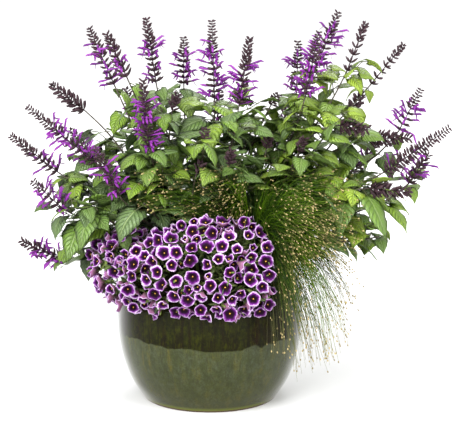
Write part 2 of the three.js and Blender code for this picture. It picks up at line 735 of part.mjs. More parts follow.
// Pot
function potSolid() {
  const outer = new THREE.SplineCurve([
    new THREE.Vector2(POT.footRadius, 0),
    new THREE.Vector2(162, 38),
    new THREE.Vector2(178, 80),
    new THREE.Vector2(187, 120),
    new THREE.Vector2(POT.bellyRadius, 158),
    new THREE.Vector2(190, 200),
    new THREE.Vector2(185, 242),
    new THREE.Vector2(POT.rimRadius, POT.height - 16),
  ]).getPoints(6);
  const inner = innerProfile();
  const lip = [
    new THREE.Vector2(POT.rimRadius + 3, POT.height - 7),
    new THREE.Vector2(POT.rimRadius - 3, POT.height),
    new THREE.Vector2(POT.rimRadius - POT.wall + 2, POT.height - 3),
  ];
  const profile = [new THREE.Vector2(0, 0), ...outer, ...lip, ...inner];
  const body = new THREE.LatheGeometry(profile, POT.segments);
  body.rotateX(Math.PI / 2);
  let solid = solidOf(body);
  for (let i = 0; i < 3; i += 1) {
    const drain = new THREE.CylinderGeometry(POT.drainRadius, POT.drainRadius, 3 * POT.floor, 8);
    drain.rotateX(Math.PI / 2);
    const angle = 90 * DEG + (i * 2 * Math.PI) / 3;
    drain.translate(POT.drainCircle * Math.cos(angle), POT.drainCircle * Math.sin(angle), 0);
    solid = solid.subtract(solidOf(drain));
  }
  return solid;
}

// The inside of the pot from its lip down to the floor, moved in by the given gap
function innerProfile(shrink = 0) {
  return [
    new THREE.Vector2(POT.rimRadius - POT.wall - shrink, POT.height - 14),
    new THREE.Vector2(174 - shrink, 205),
    new THREE.Vector2(172 - shrink, 130),
    new THREE.Vector2(158 - shrink, 70),
    new THREE.Vector2(132 - shrink, POT.floor + 6 + shrink),
    new THREE.Vector2(122 - shrink, POT.floor + shrink),
    new THREE.Vector2(0, POT.floor + shrink),
  ];
}

function soilSolid(crowns) {
  const [rim, ...below] = innerProfile(GAP);
  const edgeShare = (rim.y - SOIL.edgeHeight) / (rim.y - below[0].y);
  const edge = rim.clone().lerp(below[0], edgeShare);
  const profile = [
    ...below.slice().reverse(),
    edge,
    new THREE.Vector2(edge.x * 0.7, SOIL.edgeHeight + 5),
    new THREE.Vector2(0, SOIL.crownHeight),
  ];
  const body = new THREE.LatheGeometry(profile, POT.segments / 2);
  body.rotateX(Math.PI / 2);
  let solid = solidOf(body);
  for (const [x, y] of crowns) {
    const radius = (CROWN.radius + GAP) / Math.cos(Math.PI / CROWN.sides);
    const low = new THREE.Vector3(x, y, SOIL.crownHeight - CROWN.depth - GAP);
    const high = new THREE.Vector3(x, y, SOIL.crownHeight + 20);
    solid = solid.subtract(rod([low, high], [radius, radius], CROWN.sides));
  }
  return solid;
}

const GLAZE = 0x3d4428;
const EARTH = 0x3a2a1e;
const VIOLET = 0x7a4a9c;
const STRAW = 0x6f8f3c;

const crowns = [
  ...BRANCHES.map((branch) => branch.root),
  ...sprays.map(({ azimuth }) => [
    CROWN.sprayCircle * Math.cos(azimuth), CROWN.sprayCircle * Math.sin(azimuth),
  ]),
  GRASS.crown,
];
addNode('pot', potSolid(), GLAZE, 0.15);
addNode('soil', soilSolid(crowns), EARTH, 0.95);

BRANCHES.forEach((branch) => {
  const leaves = growLeaves(branch);
  const stems = branch.curves.map(stemSolid);
  const body = fuse([crownSolid(...branch.root), ...stems, ...leaves.map(leafSolid)]);
  addNode(`salvia_${branch.name}`, body, GREEN, 0.6);
  branch.flowers.forEach((flower, i) => {
    const spike = spikeSolid(flower.foot, flower.tip, flower.corollas, branch.draw);
    addNode(`spike_${branch.name}_${i + 1}`, spike, DARK, 0.7);
  });
});

sprays.forEach((spray, i) => {
  const bells = spray.bells.map((bell) => bellSolid(bell, spray));
  addNode(`bells_${i + 1}`, fuse([coreSolid(spray), ...bells]), VIOLET, 0.6);
});

const grassCore = rod(
  GRASS.core.map(([height]) => new THREE.Vector3(...GRASS.crown, SOIL.crownHeight + height)),
  GRASS.core.map(([, radius]) => radius),
  CROWN.sides,
);
addNode('fountain_grass', fuse([grassCore, ...needles.map(needleSolid)]), STRAW, 0.7);

export default group;
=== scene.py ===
from math import atan2, ceil, cos, degrees, exp, floor, hypot, pi, radians, sin, sqrt
from types import SimpleNamespace as Facts

import bmesh
import bpy
import numpy as np
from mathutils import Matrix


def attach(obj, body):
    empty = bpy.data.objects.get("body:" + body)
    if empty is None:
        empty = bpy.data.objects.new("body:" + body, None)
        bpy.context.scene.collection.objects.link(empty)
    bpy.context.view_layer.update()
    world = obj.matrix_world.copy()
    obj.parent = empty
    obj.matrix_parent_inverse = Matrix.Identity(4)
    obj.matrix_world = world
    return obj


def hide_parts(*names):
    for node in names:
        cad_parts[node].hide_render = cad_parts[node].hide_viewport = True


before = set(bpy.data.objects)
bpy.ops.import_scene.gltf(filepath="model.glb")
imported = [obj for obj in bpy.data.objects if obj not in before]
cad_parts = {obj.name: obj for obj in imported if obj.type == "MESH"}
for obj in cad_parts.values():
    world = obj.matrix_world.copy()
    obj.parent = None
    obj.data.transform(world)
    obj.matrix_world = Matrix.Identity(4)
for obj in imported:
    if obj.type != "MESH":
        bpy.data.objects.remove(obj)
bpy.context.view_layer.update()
MM = 0.001


# Pot
# A thick stoneware pot, round, with a narrow flat foot and a rolled rim. Its glaze is dark above
# a wavy line and lighter below it. This is painted reflection of the dark room and foliage above
# and of the bright floor below. Its foot is wiped bare before it is fired. Three holes through
# its floor let the water out.
POT_OUTSIDE = [(138, 0), (162, 38), (178, 80), (187, 120), (190.5, 158), (190, 200), (185, 242), (178, 270)]
POT_LIP = [(181, 279), (175, 286), (165, 283)]
POT_INSIDE = [(163, 272), (174, 205), (172, 130), (158, 70), (132, 22), (122, 16)]
POT_FLOOR = 16
POT_STEPS = 96
DRAIN_RADIUS = 8
DRAIN_CIRCLE = 60
PAINTED_REFLECTION_LINE = 0.146
FOOT_HEIGHT = 0.02


def around(angle, radius, height=0.0):
    """A place at an angle and a distance from the pot's middle."""
    return np.array([radius * cos(angle), radius * sin(angle), height])


def smooth_through(points, steps):
    """Points of a smooth line through the given ones."""
    line = np.array(points, float)
    ends = np.vstack([2 * line[0] - line[1], line, 2 * line[-1] - line[-2]])
    smooth = []
    for a, b, c, d in zip(ends, ends[1:], ends[2:], ends[3:]):
        for t in np.arange(steps) / steps:
            smooth.append(0.5 * (
                2 * b + (c - a) * t + (2 * a - 5 * b + 4 * c - d) * t**2 + (3 * b - a - 3 * c + d) * t**3
            ))
    return np.array(smooth + [line[-1]])


def spun(profile, steps):
    """A closed round shape from its profile, which starts and ends on the axis, in millimetres."""
    shape = bmesh.new()
    corners = [shape.verts.new((radius * MM, 0, height * MM)) for radius, height in profile]
    edges = [shape.edges.new(pair) for pair in zip(corners, corners[1:])]
    bmesh.ops.spin(
        shape, geom=corners + edges, cent=(0, 0, 0), axis=(0, 0, 1),
        angle=2 * pi, steps=steps, use_merge=True,
    )
    bmesh.ops.remove_doubles(shape, verts=shape.verts, dist=1e-5)
    bmesh.ops.recalc_face_normals(shape, faces=shape.faces)
    return shape


def mesh_from(shape):
    mesh = bpy.data.meshes.new("mesh")
    shape.to_mesh(mesh)
    shape.free()
    return mesh


def new_object(name, data):
    new = bpy.data.objects.new(name, data)
    bpy.context.scene.collection.objects.link(new)
    return new


def set_piece(name, mesh, material, slot, *nodes):
    """Puts a finished mesh into the scene as a piece on the plant's one body."""
    mesh.name = name
    mesh.shade_smooth()
    mesh.materials.append(material)
    piece = new_object(name, mesh)
    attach(piece, "root")
    if nodes:
        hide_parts(*nodes)
    return piece


def new_material(name, roughness, specular=0.5):
    material = bpy.data.materials.new(name)
    material.use_nodes = True
    shader = material.node_tree.nodes["Principled BSDF"]
    shader.inputs["Roughness"].default_value = roughness
    shader.inputs["Specular IOR Level"].default_value = specular
    return material, shader


def add(beside, kind, inputs, **settings):
    """A shader node beside a node or socket. Its inputs are given plain values or sockets."""
    tree = beside.id_data
    node = tree.nodes.new("ShaderNode" + kind)
    for key, value in settings.items():
        setattr(node, key, value)
    for key, value in inputs.items():
        if isinstance(value, bpy.types.NodeSocket):
            tree.links.new(value, node.inputs[key])
        else:
            node.inputs[key].default_value = value
    return node


def calc(operation, first, second=0.0, third=0.0):
    return add(first, "Math", {0: first, 1: second, 2: third}, operation=operation).outputs[0]


def times(first, second):
    return calc("MULTIPLY", first, second)


def place_on(shader):
    return add(shader, "TexCoord", {}).outputs["Object"]


def noise(shader, scale, detail=2.0, roughness=0.5):
    """Noise over a piece, with one scale or with a scale for each direction."""
    place = place_on(shader)
    if isinstance(scale, tuple):
        place = add(shader, "Mapping", {"Vector": place, "Scale": scale}).outputs["Vector"]
        scale = 1.0
    inputs = {"Vector": place, "Scale": scale, "Detail": detail, "Roughness": roughness}
    return add(shader, "TexNoise", inputs).outputs["Fac"]


def ramp(factor, *stops):
    """A colour ramp. Each stop is a position and a colour, or a position and a grey."""
    node = add(factor, "ValToRGB", {"Fac": factor})
    elements = node.color_ramp.elements
    for k, (position, *colour) in enumerate(stops):
        element = elements[k] if k < 2 else elements.new(position)
        element.position = position
        element.color = (*(colour * 3)[:3], 1)
    return node.outputs["Color"]


def blend(factor, low, high):
    """Mixes two colours by a factor."""
    if isinstance(high, tuple):
        high = (*high, 1)
    return add(factor, "Mix", {0: factor, 6: low, 7: high}, data_type="RGBA").outputs[2]


def link(value, shader, name):
    shader.id_data.links.new(value, shader.inputs[name])


def dress(shader, colour, relief=None, depth=0.0):
    """Gives a material its colour and its relief."""
    link(colour, shader, "Base Color")
    if relief is not None:
        node = add(shader, "Bump", {"Height": relief, "Distance": depth, "Strength": 1.0})
        link(node.outputs["Normal"], shader, "Normal")


glaze, shader = new_material("two_dipped_glazes", 0.16, 0.08)
shader.inputs["IOR"].default_value = 1.45
shader.inputs["Coat Roughness"].default_value = 0.06
height = add(shader, "SeparateXYZ", {0: place_on(shader)}).outputs["Z"]
wave = noise(shader, 9.0, 3.0)
runs = noise(shader, (70, 70, 8), 6.0, 0.65)
mottle = noise(shader, 60.0, 10.0, 0.85)
streak = noise(shader, (260, 260, 45), 4.0, 0.7)
speck = ramp(noise(shader, 300.0, 3.0), (0.42, 0), (0.62, 1))
# Painted reflection: the dark zone above the wavy line stands for the dark room and foliage seen in the
# glaze, and the lighter zone below stands for the bright floor. The runs, mottle, streaks and specks in
# both are the glaze's own.
upper = ramp(runs, (0.30, 0.012, 0.004, 0.001), (0.70, 0.018, 0.023, 0.001), (0.5, 0.009, 0.008, 0.001))
upper = blend(ramp(mottle, (0.42, 0.8), (0.55, 0)), upper, (0.004, 0.004, 0.001))
light = ramp(times(calc("ADD", mottle, streak), 0.5), (0.50, 0), (0.60, 0.8))
upper = blend(light, upper, (0.026, 0.030, 0.001))
lower = ramp(runs, (0.30, 0.020, 0.026, 0.005), (0.72, 0.076, 0.066, 0.005), (0.5, 0.034, 0.042, 0.008))
lower = blend(ramp(mottle, (0.45, 0), (0.62, 0.75)), lower, (0.054, 0.066, 0.032))
lower = blend(ramp(streak, (0.34, 0.7), (0.50, 0)), lower, (0.020, 0.022, 0.004))
line = calc("MULTIPLY_ADD", calc("SUBTRACT", wave, 0.5), 0.050, height)
line = calc("MULTIPLY_ADD", calc("SUBTRACT", runs, 0.5), 0.012, line)
# over is 1 in the dark zone above the wavy line, the painted reflection of the dark room and foliage.
over = calc("MULTIPLY_ADD", calc("SUBTRACT", line, PAINTED_REFLECTION_LINE), 420.0, 0.5)
over = add(over, "Clamp", {"Value": over}).outputs[0]
colour = blend(over, lower, upper)
turned_away = add(shader, "LayerWeight", {"Blend": 0.5}).outputs["Facing"]
shine = ramp(turned_away, (0.45, 0), (0.78, 1))
link(calc("MAXIMUM", shine, calc("MULTIPLY_ADD", over, -0.38, 0.40)), shader, "Coat Weight")
# Darker and more olive over the lowest 100 mm, where the painted floor reflection fades.
colour = blend(times(ramp(height, (0.0, 1), (0.10, 0)), 0.45), colour, (0.040, 0.040, 0.004))
colour = blend(times(speck, 0.30), colour, (0.014, 0.012, 0.004))
up_foot = calc("DIVIDE", height, FOOT_HEIGHT)
bare = ramp(up_foot, (0.0, 1), (0.16, 1), (0.20, 0))
colour = blend(ramp(up_foot, (0.0, 1), (0.26, 1), (0.6, 0)), colour, (0.110, 0.125, 0.014))
colour = blend(bare, colour, (0.070, 0.040, 0.022))
link(calc("MULTIPLY_ADD", bare, 0.6, 0.12), shader, "Roughness")
dress(shader, colour, calc("ADD", wave, times(mottle, 0.12)), 0.0035)

outside = smooth_through(POT_OUTSIDE, 6)
inside = smooth_through(POT_INSIDE, 3)
pot_shape = spun([(0, 0), *outside, *POT_LIP, *inside, (0, POT_FLOOR)], POT_STEPS)
pot = set_piece("pot_glazed", mesh_from(pot_shape), glaze, "glaze", "pot")
drill_shape = bmesh.new()
for k in range(3):
    hole = bmesh.ops.create_cone(
        drill_shape, cap_ends=True, segments=24, radius1=DRAIN_RADIUS * MM, radius2=DRAIN_RADIUS * MM,
        depth=3 * POT_FLOOR * MM,
    )
    side = around(pi / 2 + k * 2 * pi / 3, DRAIN_CIRCLE * MM)
    bmesh.ops.translate(drill_shape, verts=hole["verts"], vec=side)
drill = new_object("drill", mesh_from(drill_shape))
cut = pot.modifiers.new("drain_holes", "BOOLEAN")
cut.object = drill
cut.solver = "EXACT"
bored = bpy.data.meshes.new_from_object(pot.evaluated_get(bpy.context.evaluated_depsgraph_get()))
pot.modifiers.clear()
pot.data = bored
bored.set_sharp_from_angle(angle=radians(40))
bpy.data.objects.remove(drill)


# Potting mix
# Dark bark and peat that fills the pot to two fingers' width under the rim, a little higher in
# the middle. Loose crumbs of bark lie on it.
SOIL_SIDE = [(121.7, 16.3), (131.7, 22.3), (157.7, 70), (171.7, 130), (173.7, 205), (165.3, 256)]
SOIL_RINGS = [(156, 258), (140, 259.5), (120, 261), (95, 262), (70, 263), (45, 263.5), (20, 264)]
SOIL_EDGE = 257
SOIL_TOP = 264
SOIL_STEPS = 64
SOIL_ROUGHNESS = 5
CRUMBS = 900
CRUMB_CIRCLE = 160
GOLDEN_TURN = 2.399963
DRAW_FACTOR, DRAW_PRIME = 16807, 2147483647


def draw_from(seed):
    """Seeded draws from a range, which is 0 to 1 unless another is given."""
    state = [seed]

    def draw(low=0, high=1):
        state[0] = state[0] * DRAW_FACTOR % DRAW_PRIME
        return low + (high - low) * (state[0] / DRAW_PRIME)

    return draw


def pattern_arrays(shape):
    """The corners, the corner of each face corner and the face sizes of a pattern."""
    shape.verts.index_update()
    corners = np.array([corner.co[:] for corner in shape.verts])
    loops = np.array([corner.index for face in shape.faces for corner in face.verts])
    sizes = np.array([len(face.verts) for face in shape.faces])
    shape.free()
    return corners, loops, sizes


def mesh_of_copies(*groups):
    """One mesh of many copies. A group has a pattern, the places of each copy's corners in millimetres,
    one tint or each copy's tint and, if it isn't the pattern's corners, what the material reads as form."""
    places, corner_of, sizes, tints, forms = [], [], [], [], []
    total = 0
    for (corners, loops, faces), copies, tint, *form in groups:
        count = len(copies)
        if not count:
            continue
        places.append(np.concatenate(copies))
        first = total + np.arange(count)[:, None] * len(corners)
        corner_of.append((loops + first).ravel())
        sizes.append(np.tile(faces, count))
        tints.append(np.repeat(np.broadcast_to(tint, count), len(corners)))
        forms.append(np.tile(form[0] if form else corners, (count, 1)))
        total += count * len(corners)
    corner_of, sizes = np.concatenate(corner_of), np.concatenate(sizes)
    mesh = bpy.data.meshes.new("mesh")
    mesh.vertices.add(total)
    mesh.loops.add(len(corner_of))
    mesh.polygons.add(len(sizes))
    mesh.vertices.foreach_set("co", (np.concatenate(places) * MM).astype(np.float32).ravel())
    mesh.loops.foreach_set("vertex_index", corner_of)
    mesh.polygons.foreach_set("loop_start", np.concatenate([[0], np.cumsum(sizes)[:-1]]))
    mesh.update(calc_edges=True)
    for name, kind, key, values in (
        ("tint", "FLOAT", "value", tints), ("form", "FLOAT_VECTOR", "vector", forms),
    ):
        data = mesh.attributes.new(name, kind, "POINT").data
        data.foreach_set(key, np.concatenate(values).astype(np.float32).ravel())
    mesh.validate()
    return mesh


def tint_of(shader):
    return add(shader, "Attribute", {}, attribute_name="tint").outputs["Fac"]


earth, shader = new_material("bark_and_peat", 0.92)
grit = noise(shader, 190.0, 8.0, 0.7)
lumps = add(shader, "TexVoronoi", {"Vector": place_on(shader), "Scale": 150.0}).outputs["Distance"]
colour = ramp(grit, (0.3, 0.010, 0.006, 0.004), (0.7, 0.075, 0.045, 0.026))
colour = blend(times(tint_of(shader), 0.5), colour, (0.10, 0.060, 0.032))
dress(shader, colour, calc("ADD", grit, lumps), 0.004)

soil_shape = spun([(0, POT_FLOOR + 0.3), *SOIL_SIDE, *SOIL_RINGS, (0, SOIL_TOP)], SOIL_STEPS)
soil_draw = draw_from(31)
for corner in soil_shape.verts:
    if corner.co.z > SOIL_EDGE * MM:
        corner.co.z += (soil_draw() - 0.6) * SOIL_ROUGHNESS * MM
set_piece("potting_mix", mesh_from(soil_shape), earth, "potting_mix", "soil")

ball_shape = bmesh.new()
bmesh.ops.create_icosphere(ball_shape, subdivisions=1, radius=1)
BALL = pattern_arrays(ball_shape)
places = []
tints = []
for n in range(CRUMBS):
    radius = CRUMB_CIRCLE * sqrt(soil_draw())
    size = np.array([2.5 + 5 * soil_draw(), 2 + 3 * soil_draw(), 1.2 + 1.6 * soil_draw()])
    spin = 2 * pi * soil_draw()
    rough = BALL[0] * size * (0.8 + 0.4 * np.abs(np.sin(BALL[0] * 7.3 + n)))
    turned = rough @ [around(spin, 1), around(spin + pi / 2, 1), [0, 0, 1]]
    rest = SOIL_TOP - 8 * (radius / 165) ** 2 - 0.5
    places.append(turned + around(n * GOLDEN_TURN, radius, rest))
    tints.append(soil_draw())
set_piece("bark_crumbs", mesh_of_copies((BALL, places, tints)), earth, "potting_mix")


# Salvia stems
# Each plant has a woody crown in the soil, from which thin dark stems rise and lean outwards.
# A flowering stem ends in its spike, and a leafy shoot in its youngest leaves.
CELL = 10
STEP = 5
BELLY = 190.5
RIM = 178
WALL = 15
RIM_HEIGHT = 286
# How far the plants keep off the rim, the soil, the wall, the pot's side and the floor
CLEAR = Facts(rim=6, soil=5, wall=8, side=7, floor=12)
SPIKES, BELLS, GRASS = 1 << 20, 1 << 21, 1 << 22
CROWN = Facts(rise=12, spread=4)
STEM = Facts(out=0.12, up=0.42, end=0.3, over_rim=340, lift=0.35)
LEAF = Facts(
    length=84, width=0.66, petiole=14, fold=-0.1, spacing=62, top=0.97, bare=1.1,
    tip_loss=0.45, tries=9, swing=17, try_loss=0.035, droop=0.06,
    turn=0.35, sizes=(0.78, 1.08), pitch=(-5, 25), drop=(60, 120), roll=0.55,
)
# A plant's crown, then each flowering stem's spike foot, spike tip and open flowers, then each
# leafy shoot's end
PLANTS = {
    "left_low": [(-118, -8), (-295, -60, 405, -355, -75, 465, 4), (-305, -20, 290, -385, -25, 330, 4),
        (-310, 15, 465, -405, 20, 540, 2), (-275, 10, 330), (-250, -80, 410)],
    "left": [(-95, 50), (-230, -35, 495, -365, -40, 610, 5), (-260, 115, 575, -330, 140, 625, 0),
        (-290, 80, 420), (-240, 30, 430)],
    "left_inner": [(-68, 2), (-180, -95, 440, -225, -120, 540, 3), (-165, -20, 665, -205, -20, 755, 2),
        (-195, 50, 640, -245, 60, 755, 3), (-130, -120, 430)],
    "middle_left": [(-35, 45), (-110, 70, 640, -130, 90, 770, 3), (-120, -85, 535, -130, -110, 675, 7),
        (-55, 150, 625, -55, 180, 720, 4), (-75, -40, 600, -65, -40, 635, 0)],
    "middle": [(0, 0), (10, 25, 615, 5, 30, 775, 5), (60, -20, 610, 80, -20, 745, 4),
        (40, -110, 505, 45, -120, 535, 0), (-10, -90, 550, -5, -90, 575, 0),
        (-25, -130, 490, -15, -130, 512, 0)],
    "middle_right": [(35, 50), (180, 160, 595, 185, 190, 710, 3), (220, 100, 670, 265, 120, 780, 7),
        (125, 60, 595, 140, 60, 620, 0), (90, 40, 560)],
    "right_inner": [(70, 0), (195, 10, 625, 220, 10, 755, 4), (280, 45, 670, 315, 60, 760, 0),
        (180, -55, 520, 190, -60, 550, 0), (115, -20, 520, 120, -20, 550, 0), (210, -50, 440)],
    "right": [(105, 40), (335, 125, 630, 400, 150, 705, 0), (390, 75, 540, 435, 90, 625, 4),
        (295, 210, 545, 320, 230, 595, 0), (310, 60, 500)],
    "right_front": [(125, -15), (260, -55, 575, 315, -80, 570, 0), (320, 10, 535, 410, 20, 535, 0),
        (355, -30, 475, 485, -30, 565, 1), (280, -30, 430)],
    "right_low": [(124, -52), (410, 65, 430, 450, 70, 490, 3), (320, -75, 450, 400, -90, 445, 0),
        (345, -30, 340), (330, 40, 330)],
    "back_left": [(-70, 105), (-150, 215, 510, -180, 250, 600, 3), (-235, 190, 440, -300, 225, 515, 2),
        (-200, 170, 360), (-120, 250, 380)],
    "back_middle": [(10, 112), (10, 245, 500, 20, 295, 590, 3), (-50, 270, 390), (70, 260, 370)],
    "back_right": [(85, 100), (140, 240, 470, 165, 285, 560, 3), (290, 200, 420, 355, 230, 480, 2),
        (170, 250, 340), (240, 160, 370)],
}
X_AXIS, Y_AXIS, Z_AXIS = np.eye(3)

near = {}
taken = {}


def cells_of(points):
    return set(map(tuple, np.floor(np.asarray(points) / CELL).astype(int).tolist()))


def claim(points, owner):
    """Marks the cells that the points are in, and the cells around them."""
    for x, y, z in cells_of(points):
        taken[x, y, z] = taken.get((x, y, z), 0) | owner
        for i, j, k in np.ndindex(3, 3, 3):
            key = (x + i - 1, y + j - 1, z + k - 1)
            near[key] = near.get(key, 0) | owner


def is_open(points, owner):
    return all(taken.get(cell, 0) & ~owner == 0 for cell in cells_of(points))


def is_free(points, owner):
    return all(
        near.get(cell, 0) & ~owner == 0 and taken.get(cell, 0) & owner == 0 for cell in cells_of(points)
    )


def clears_pot(points):
    """Whether all points are clear of the pot's wall and the potting mix."""
    points = np.asarray(points)
    radius = np.hypot(points[:, 0], points[:, 1])
    height = points[:, 2]
    over = height > RIM_HEIGHT + CLEAR.rim
    in_mouth = (height > SOIL_TOP + CLEAR.soil) & (radius < RIM - WALL - CLEAR.wall)
    beside = (radius > BELLY + CLEAR.side) & (height > CLEAR.floor)
    return bool(np.all(over | in_mouth | beside))


def unit(vector):
    return vector / np.linalg.norm(vector)


def bezier(curve, t):
    t = np.asarray(t, float)[..., None]
    k = 1 - t
    return k**3 * curve[0] + 3 * k**2 * t * curve[1] + 3 * k * t**2 * curve[2] + t**3 * curve[3]


def samples_along(points):
    samples = [points[0]]
    for low, high in zip(points, points[1:]):
        count = ceil(np.linalg.norm(high - low) / STEP)
        samples += [low + (high - low) * k / count for k in range(1, count + 1)]
    return np.array(samples)


def stem_curve(root, foot, tip):
    """A stem leaves its crown upwards and ends in line with its spike, if it has one."""
    end = np.array(foot, float)
    away = atan2(end[1] - root[1], end[0] - root[0])
    start = np.array([*root, 0]) + around(away, CROWN.spread, SOIL_TOP + CROWN.rise / 3)
    reach = np.linalg.norm(end - start)
    heading = np.array([*(end - start)[:2] / reach, STEM.lift])
    if tip:
        heading = np.array(tip) - end
    rise = start + (end - start) * [STEM.out, STEM.out, 0]
    rise[2] += reach * STEM.up + max(0, STEM.over_rim - end[2])
    return np.array([start, rise, end - unit(heading) * reach * STEM.end, end])


def leaf_stops(curve):
    """Places of the leaf pairs along a stem, as shares of its curve."""
    length = np.linalg.norm(np.diff(bezier(curve, np.arange(201) / 200), axis=0), axis=1).sum()
    pairs = max(1, floor(LEAF.top * length / LEAF.spacing - LEAF.bare))
    return [LEAF.top - (pairs - 1 - i) * LEAF.spacing / length for i in range(pairs)]


def stem_bends(curve):
    stops = leaf_stops(curve)
    return [0, stops[0] / 2, *[(low + high) / 2 for low, high in zip(stops, stops[1:])], 1]


def point_on_stem(curve, t):
    bends = stem_bends(curve)
    i = next(k for k, bend in enumerate(bends) if k > 0 and bend >= t)
    share = (t - bends[i - 1]) / (bends[i] - bends[i - 1])
    low, high = bezier(curve, [bends[i - 1], bends[i]])
    return low + (high - low) * share


def rod_pattern(sides, rings):
    """A closed rod of radius 1 and height 1 with evenly spaced rings."""
    shape = bmesh.new()
    bmesh.ops.create_cone(shape, cap_ends=True, segments=sides, radius1=1, radius2=1, depth=1)
    bmesh.ops.translate(shape, verts=shape.verts, vec=(0, 0, 0.5))
    upright = [e for e in shape.edges if abs(e.verts[0].co.z - e.verts[1].co.z) > 0.5]
    if rings > 2:
        bmesh.ops.subdivide_edges(shape, edges=upright, cuts=rings - 2)
    return pattern_arrays(shape)


def along_line(pattern, line, radii):
    """The corners of a rod pattern, laid along a line of points with a radius at each."""
    line = np.asarray(line, float)
    corners = pattern[0]
    ring = np.rint(corners[:, 2] * (len(line) - 1)).astype(int)
    along = np.gradient(line, axis=0)
    along /= np.linalg.norm(along, axis=1)[:, None]
    helper = Y_AXIS if abs(unit(line[-1] - line[0])[0]) > 0.6 else X_AXIS
    side = helper - along * (along @ helper)[:, None]
    side /= np.linalg.norm(side, axis=1)[:, None]
    other = np.cross(along, side)
    radii = np.asarray(radii, float)[ring][:, None]
    return line[ring] + radii * (corners[:, :1] * side[ring] + corners[:, 1:2] * other[ring])


def evenly(points, count):
    """The given number of points, evenly spaced along a row of points."""
    points = np.asarray(points, float)
    steps = np.concatenate([[0], np.cumsum(np.linalg.norm(np.diff(points, axis=0), axis=1))])
    wanted = np.linspace(0, steps[-1], count)
    return np.stack([np.interp(wanted, steps, points[:, axis]) for axis in range(3)], axis=1)


plants = []
for index, (name, (root, *stems)) in enumerate(PLANTS.items()):
    plant = Facts(name=name, root=root, owner=1 << index, draw=draw_from(1000 + 77 * index))
    plant.stems, plant.flowers, plant.leaves, plant.shoots = [], [], [], []
    plants.append(plant)
    for stem in stems:
        foot, tip = stem[:3], stem[3:6]
        curve = stem_curve(root, foot, tip)
        plant.stems.append(curve)
        claim(samples_along(bezier(curve, stem_bends(curve))), plant.owner)
        if tip:
            plant.flowers.append((foot, tip, stem[6]))
            axis = np.array([foot, tip], float)
            across = unit(np.cross(axis[0] - axis[1], Z_AXIS)) * 6
            spine = samples_along(axis)
            claim(np.concatenate([spine + across, spine - across]), SPIKES)


# Bell flower sprays
# A trailing plant grows along the rim at the front left. Its thin twigs fork into a mat that
# hangs over the rim, and each twig ends in a flower that faces outwards.
BELL = Facts(radius=15, spacing=26.5, wide=30, draws=5200, forward=0.25, tilt=0.3, sizes=(0.86, 1))
BELL_AZIMUTHS = (197, 302)
SPRAYS = 6
SPRAY_CIRCLE = 108
MOUND = Facts(ring=172, height=296, across=74, up=88, crest=24, lobe=22, depths=(0.93, 1.06))
MOUND_ANGLES = (-68, 132)
# Each stop of a spray's core: angle round the rim's section, radius, height and thickness
CORE = [
    (132, 127, 322, 15), (92, 164, 349, 26), (45, 200, 331, 27),
    (0, 211, 294, 20), (-40, 207, 255, 14), (-68, 203, 232, 7),
]


def within(low, high, share):
    return low + (high - low) * share


def leaning(normal, most, draw):
    return unit(normal + [draw(-most, most) for _ in range(3)])


def frame_on(axis, helper):
    """Two directions square to an axis, the first as near to the helper as can be."""
    side = unit(helper - axis * (axis @ helper))
    return side, np.cross(axis, side)


def circle(turns, side, other):
    return np.cos(turns)[:, None] * side + np.sin(turns)[:, None] * other


def mound_point(azimuth, angle, scale):
    lobe = MOUND.lobe * exp(-(((degrees(azimuth) - 207) / 8) ** 2)) * max(0, cos(angle))
    radius = MOUND.ring + MOUND.across * scale * cos(angle) + lobe
    crest = MOUND.up
    if angle > 0:
        crest += MOUND.crest * sin((degrees(azimuth) - 200) * radians(1.5))
    return around(azimuth, radius, MOUND.height + crest * scale * sin(angle))


def core_at(azimuth, angle):
    i = max(1, next((k for k, stop in enumerate(CORE) if stop[0] <= angle), len(CORE) - 1))
    low, high = CORE[i - 1], CORE[i]
    share = (low[0] - angle) / (low[0] - high[0])
    return within(around(azimuth, *low[1:3]), around(azimuth, *high[1:3]), share)


low_azimuth, high_azimuth = map(radians, BELL_AZIMUTHS)
spray_width = (high_azimuth - low_azimuth) / SPRAYS
sprays = [Facts(azimuth=low_azimuth + (i + 0.5) * spray_width, bells=[], more=[]) for i in range(SPRAYS)]


def draw_bell(draw):
    """A bell somewhere on the mound, and the number of the spray that it belongs to."""
    azimuth = draw(low_azimuth, high_azimuth)
    angle = radians(draw(*MOUND_ANGLES))
    depth = draw(*MOUND.depths)
    tilt = np.array([draw(-BELL.tilt, BELL.tilt) for _ in range(3)])
    size = draw(*BELL.sizes)
    turn = draw() * 2 * pi
    out = cos(angle) / MOUND.across + 0.003
    normal = unit(around(azimuth, out, sin(angle) / MOUND.up))
    normal = unit(normal + tilt - [0, BELL.forward, 0])
    centre = mound_point(azimuth, angle, depth)
    home = min(int((azimuth - low_azimuth) / spray_width), SPRAYS - 1)
    return home, Facts(centre=centre, normal=normal, angle=angle, size=size, turn=turn)


def keeps_off(home, centre, spacing, wide):
    """Whether a place is far enough from the bells of its own spray and of the others."""
    return all(
        np.linalg.norm(other.centre - centre) > (spacing if i == home else wide)
        for i, spray in enumerate(sprays) for other in spray.bells + spray.more
    )


bell_draw = draw_from(4242)
for _ in range(BELL.draws):
    home, bell = draw_bell(bell_draw)
    centre = bell.centre
    if clears_pot([centre]) and is_free([centre], BELLS):
        if keeps_off(home, centre, BELL.spacing, BELL.wide):
            sprays[home].bells.append(bell)
for spray in sprays:
    azimuth = spray.azimuth
    level = around(azimuth + pi / 2, 1)
    for _, radius, height, size in CORE:
        ring = size * circle(np.arange(12) * pi / 6, level, Z_AXIS)
        claim(around(azimuth, radius, height) + ring, BELLS)
    for bell in spray.bells:
        turns = bell.turn + np.arange(5) * 2 * pi / 5
        rim = bell.centre + BELL.radius * bell.size * circle(turns, *frame_on(bell.normal, level))
        core = core_at(azimuth, degrees(bell.angle))
        claim([bell.centre, *rim], BELLS)
        claim(np.concatenate([samples_along([corner, core]) for corner in rim]), BELLS)


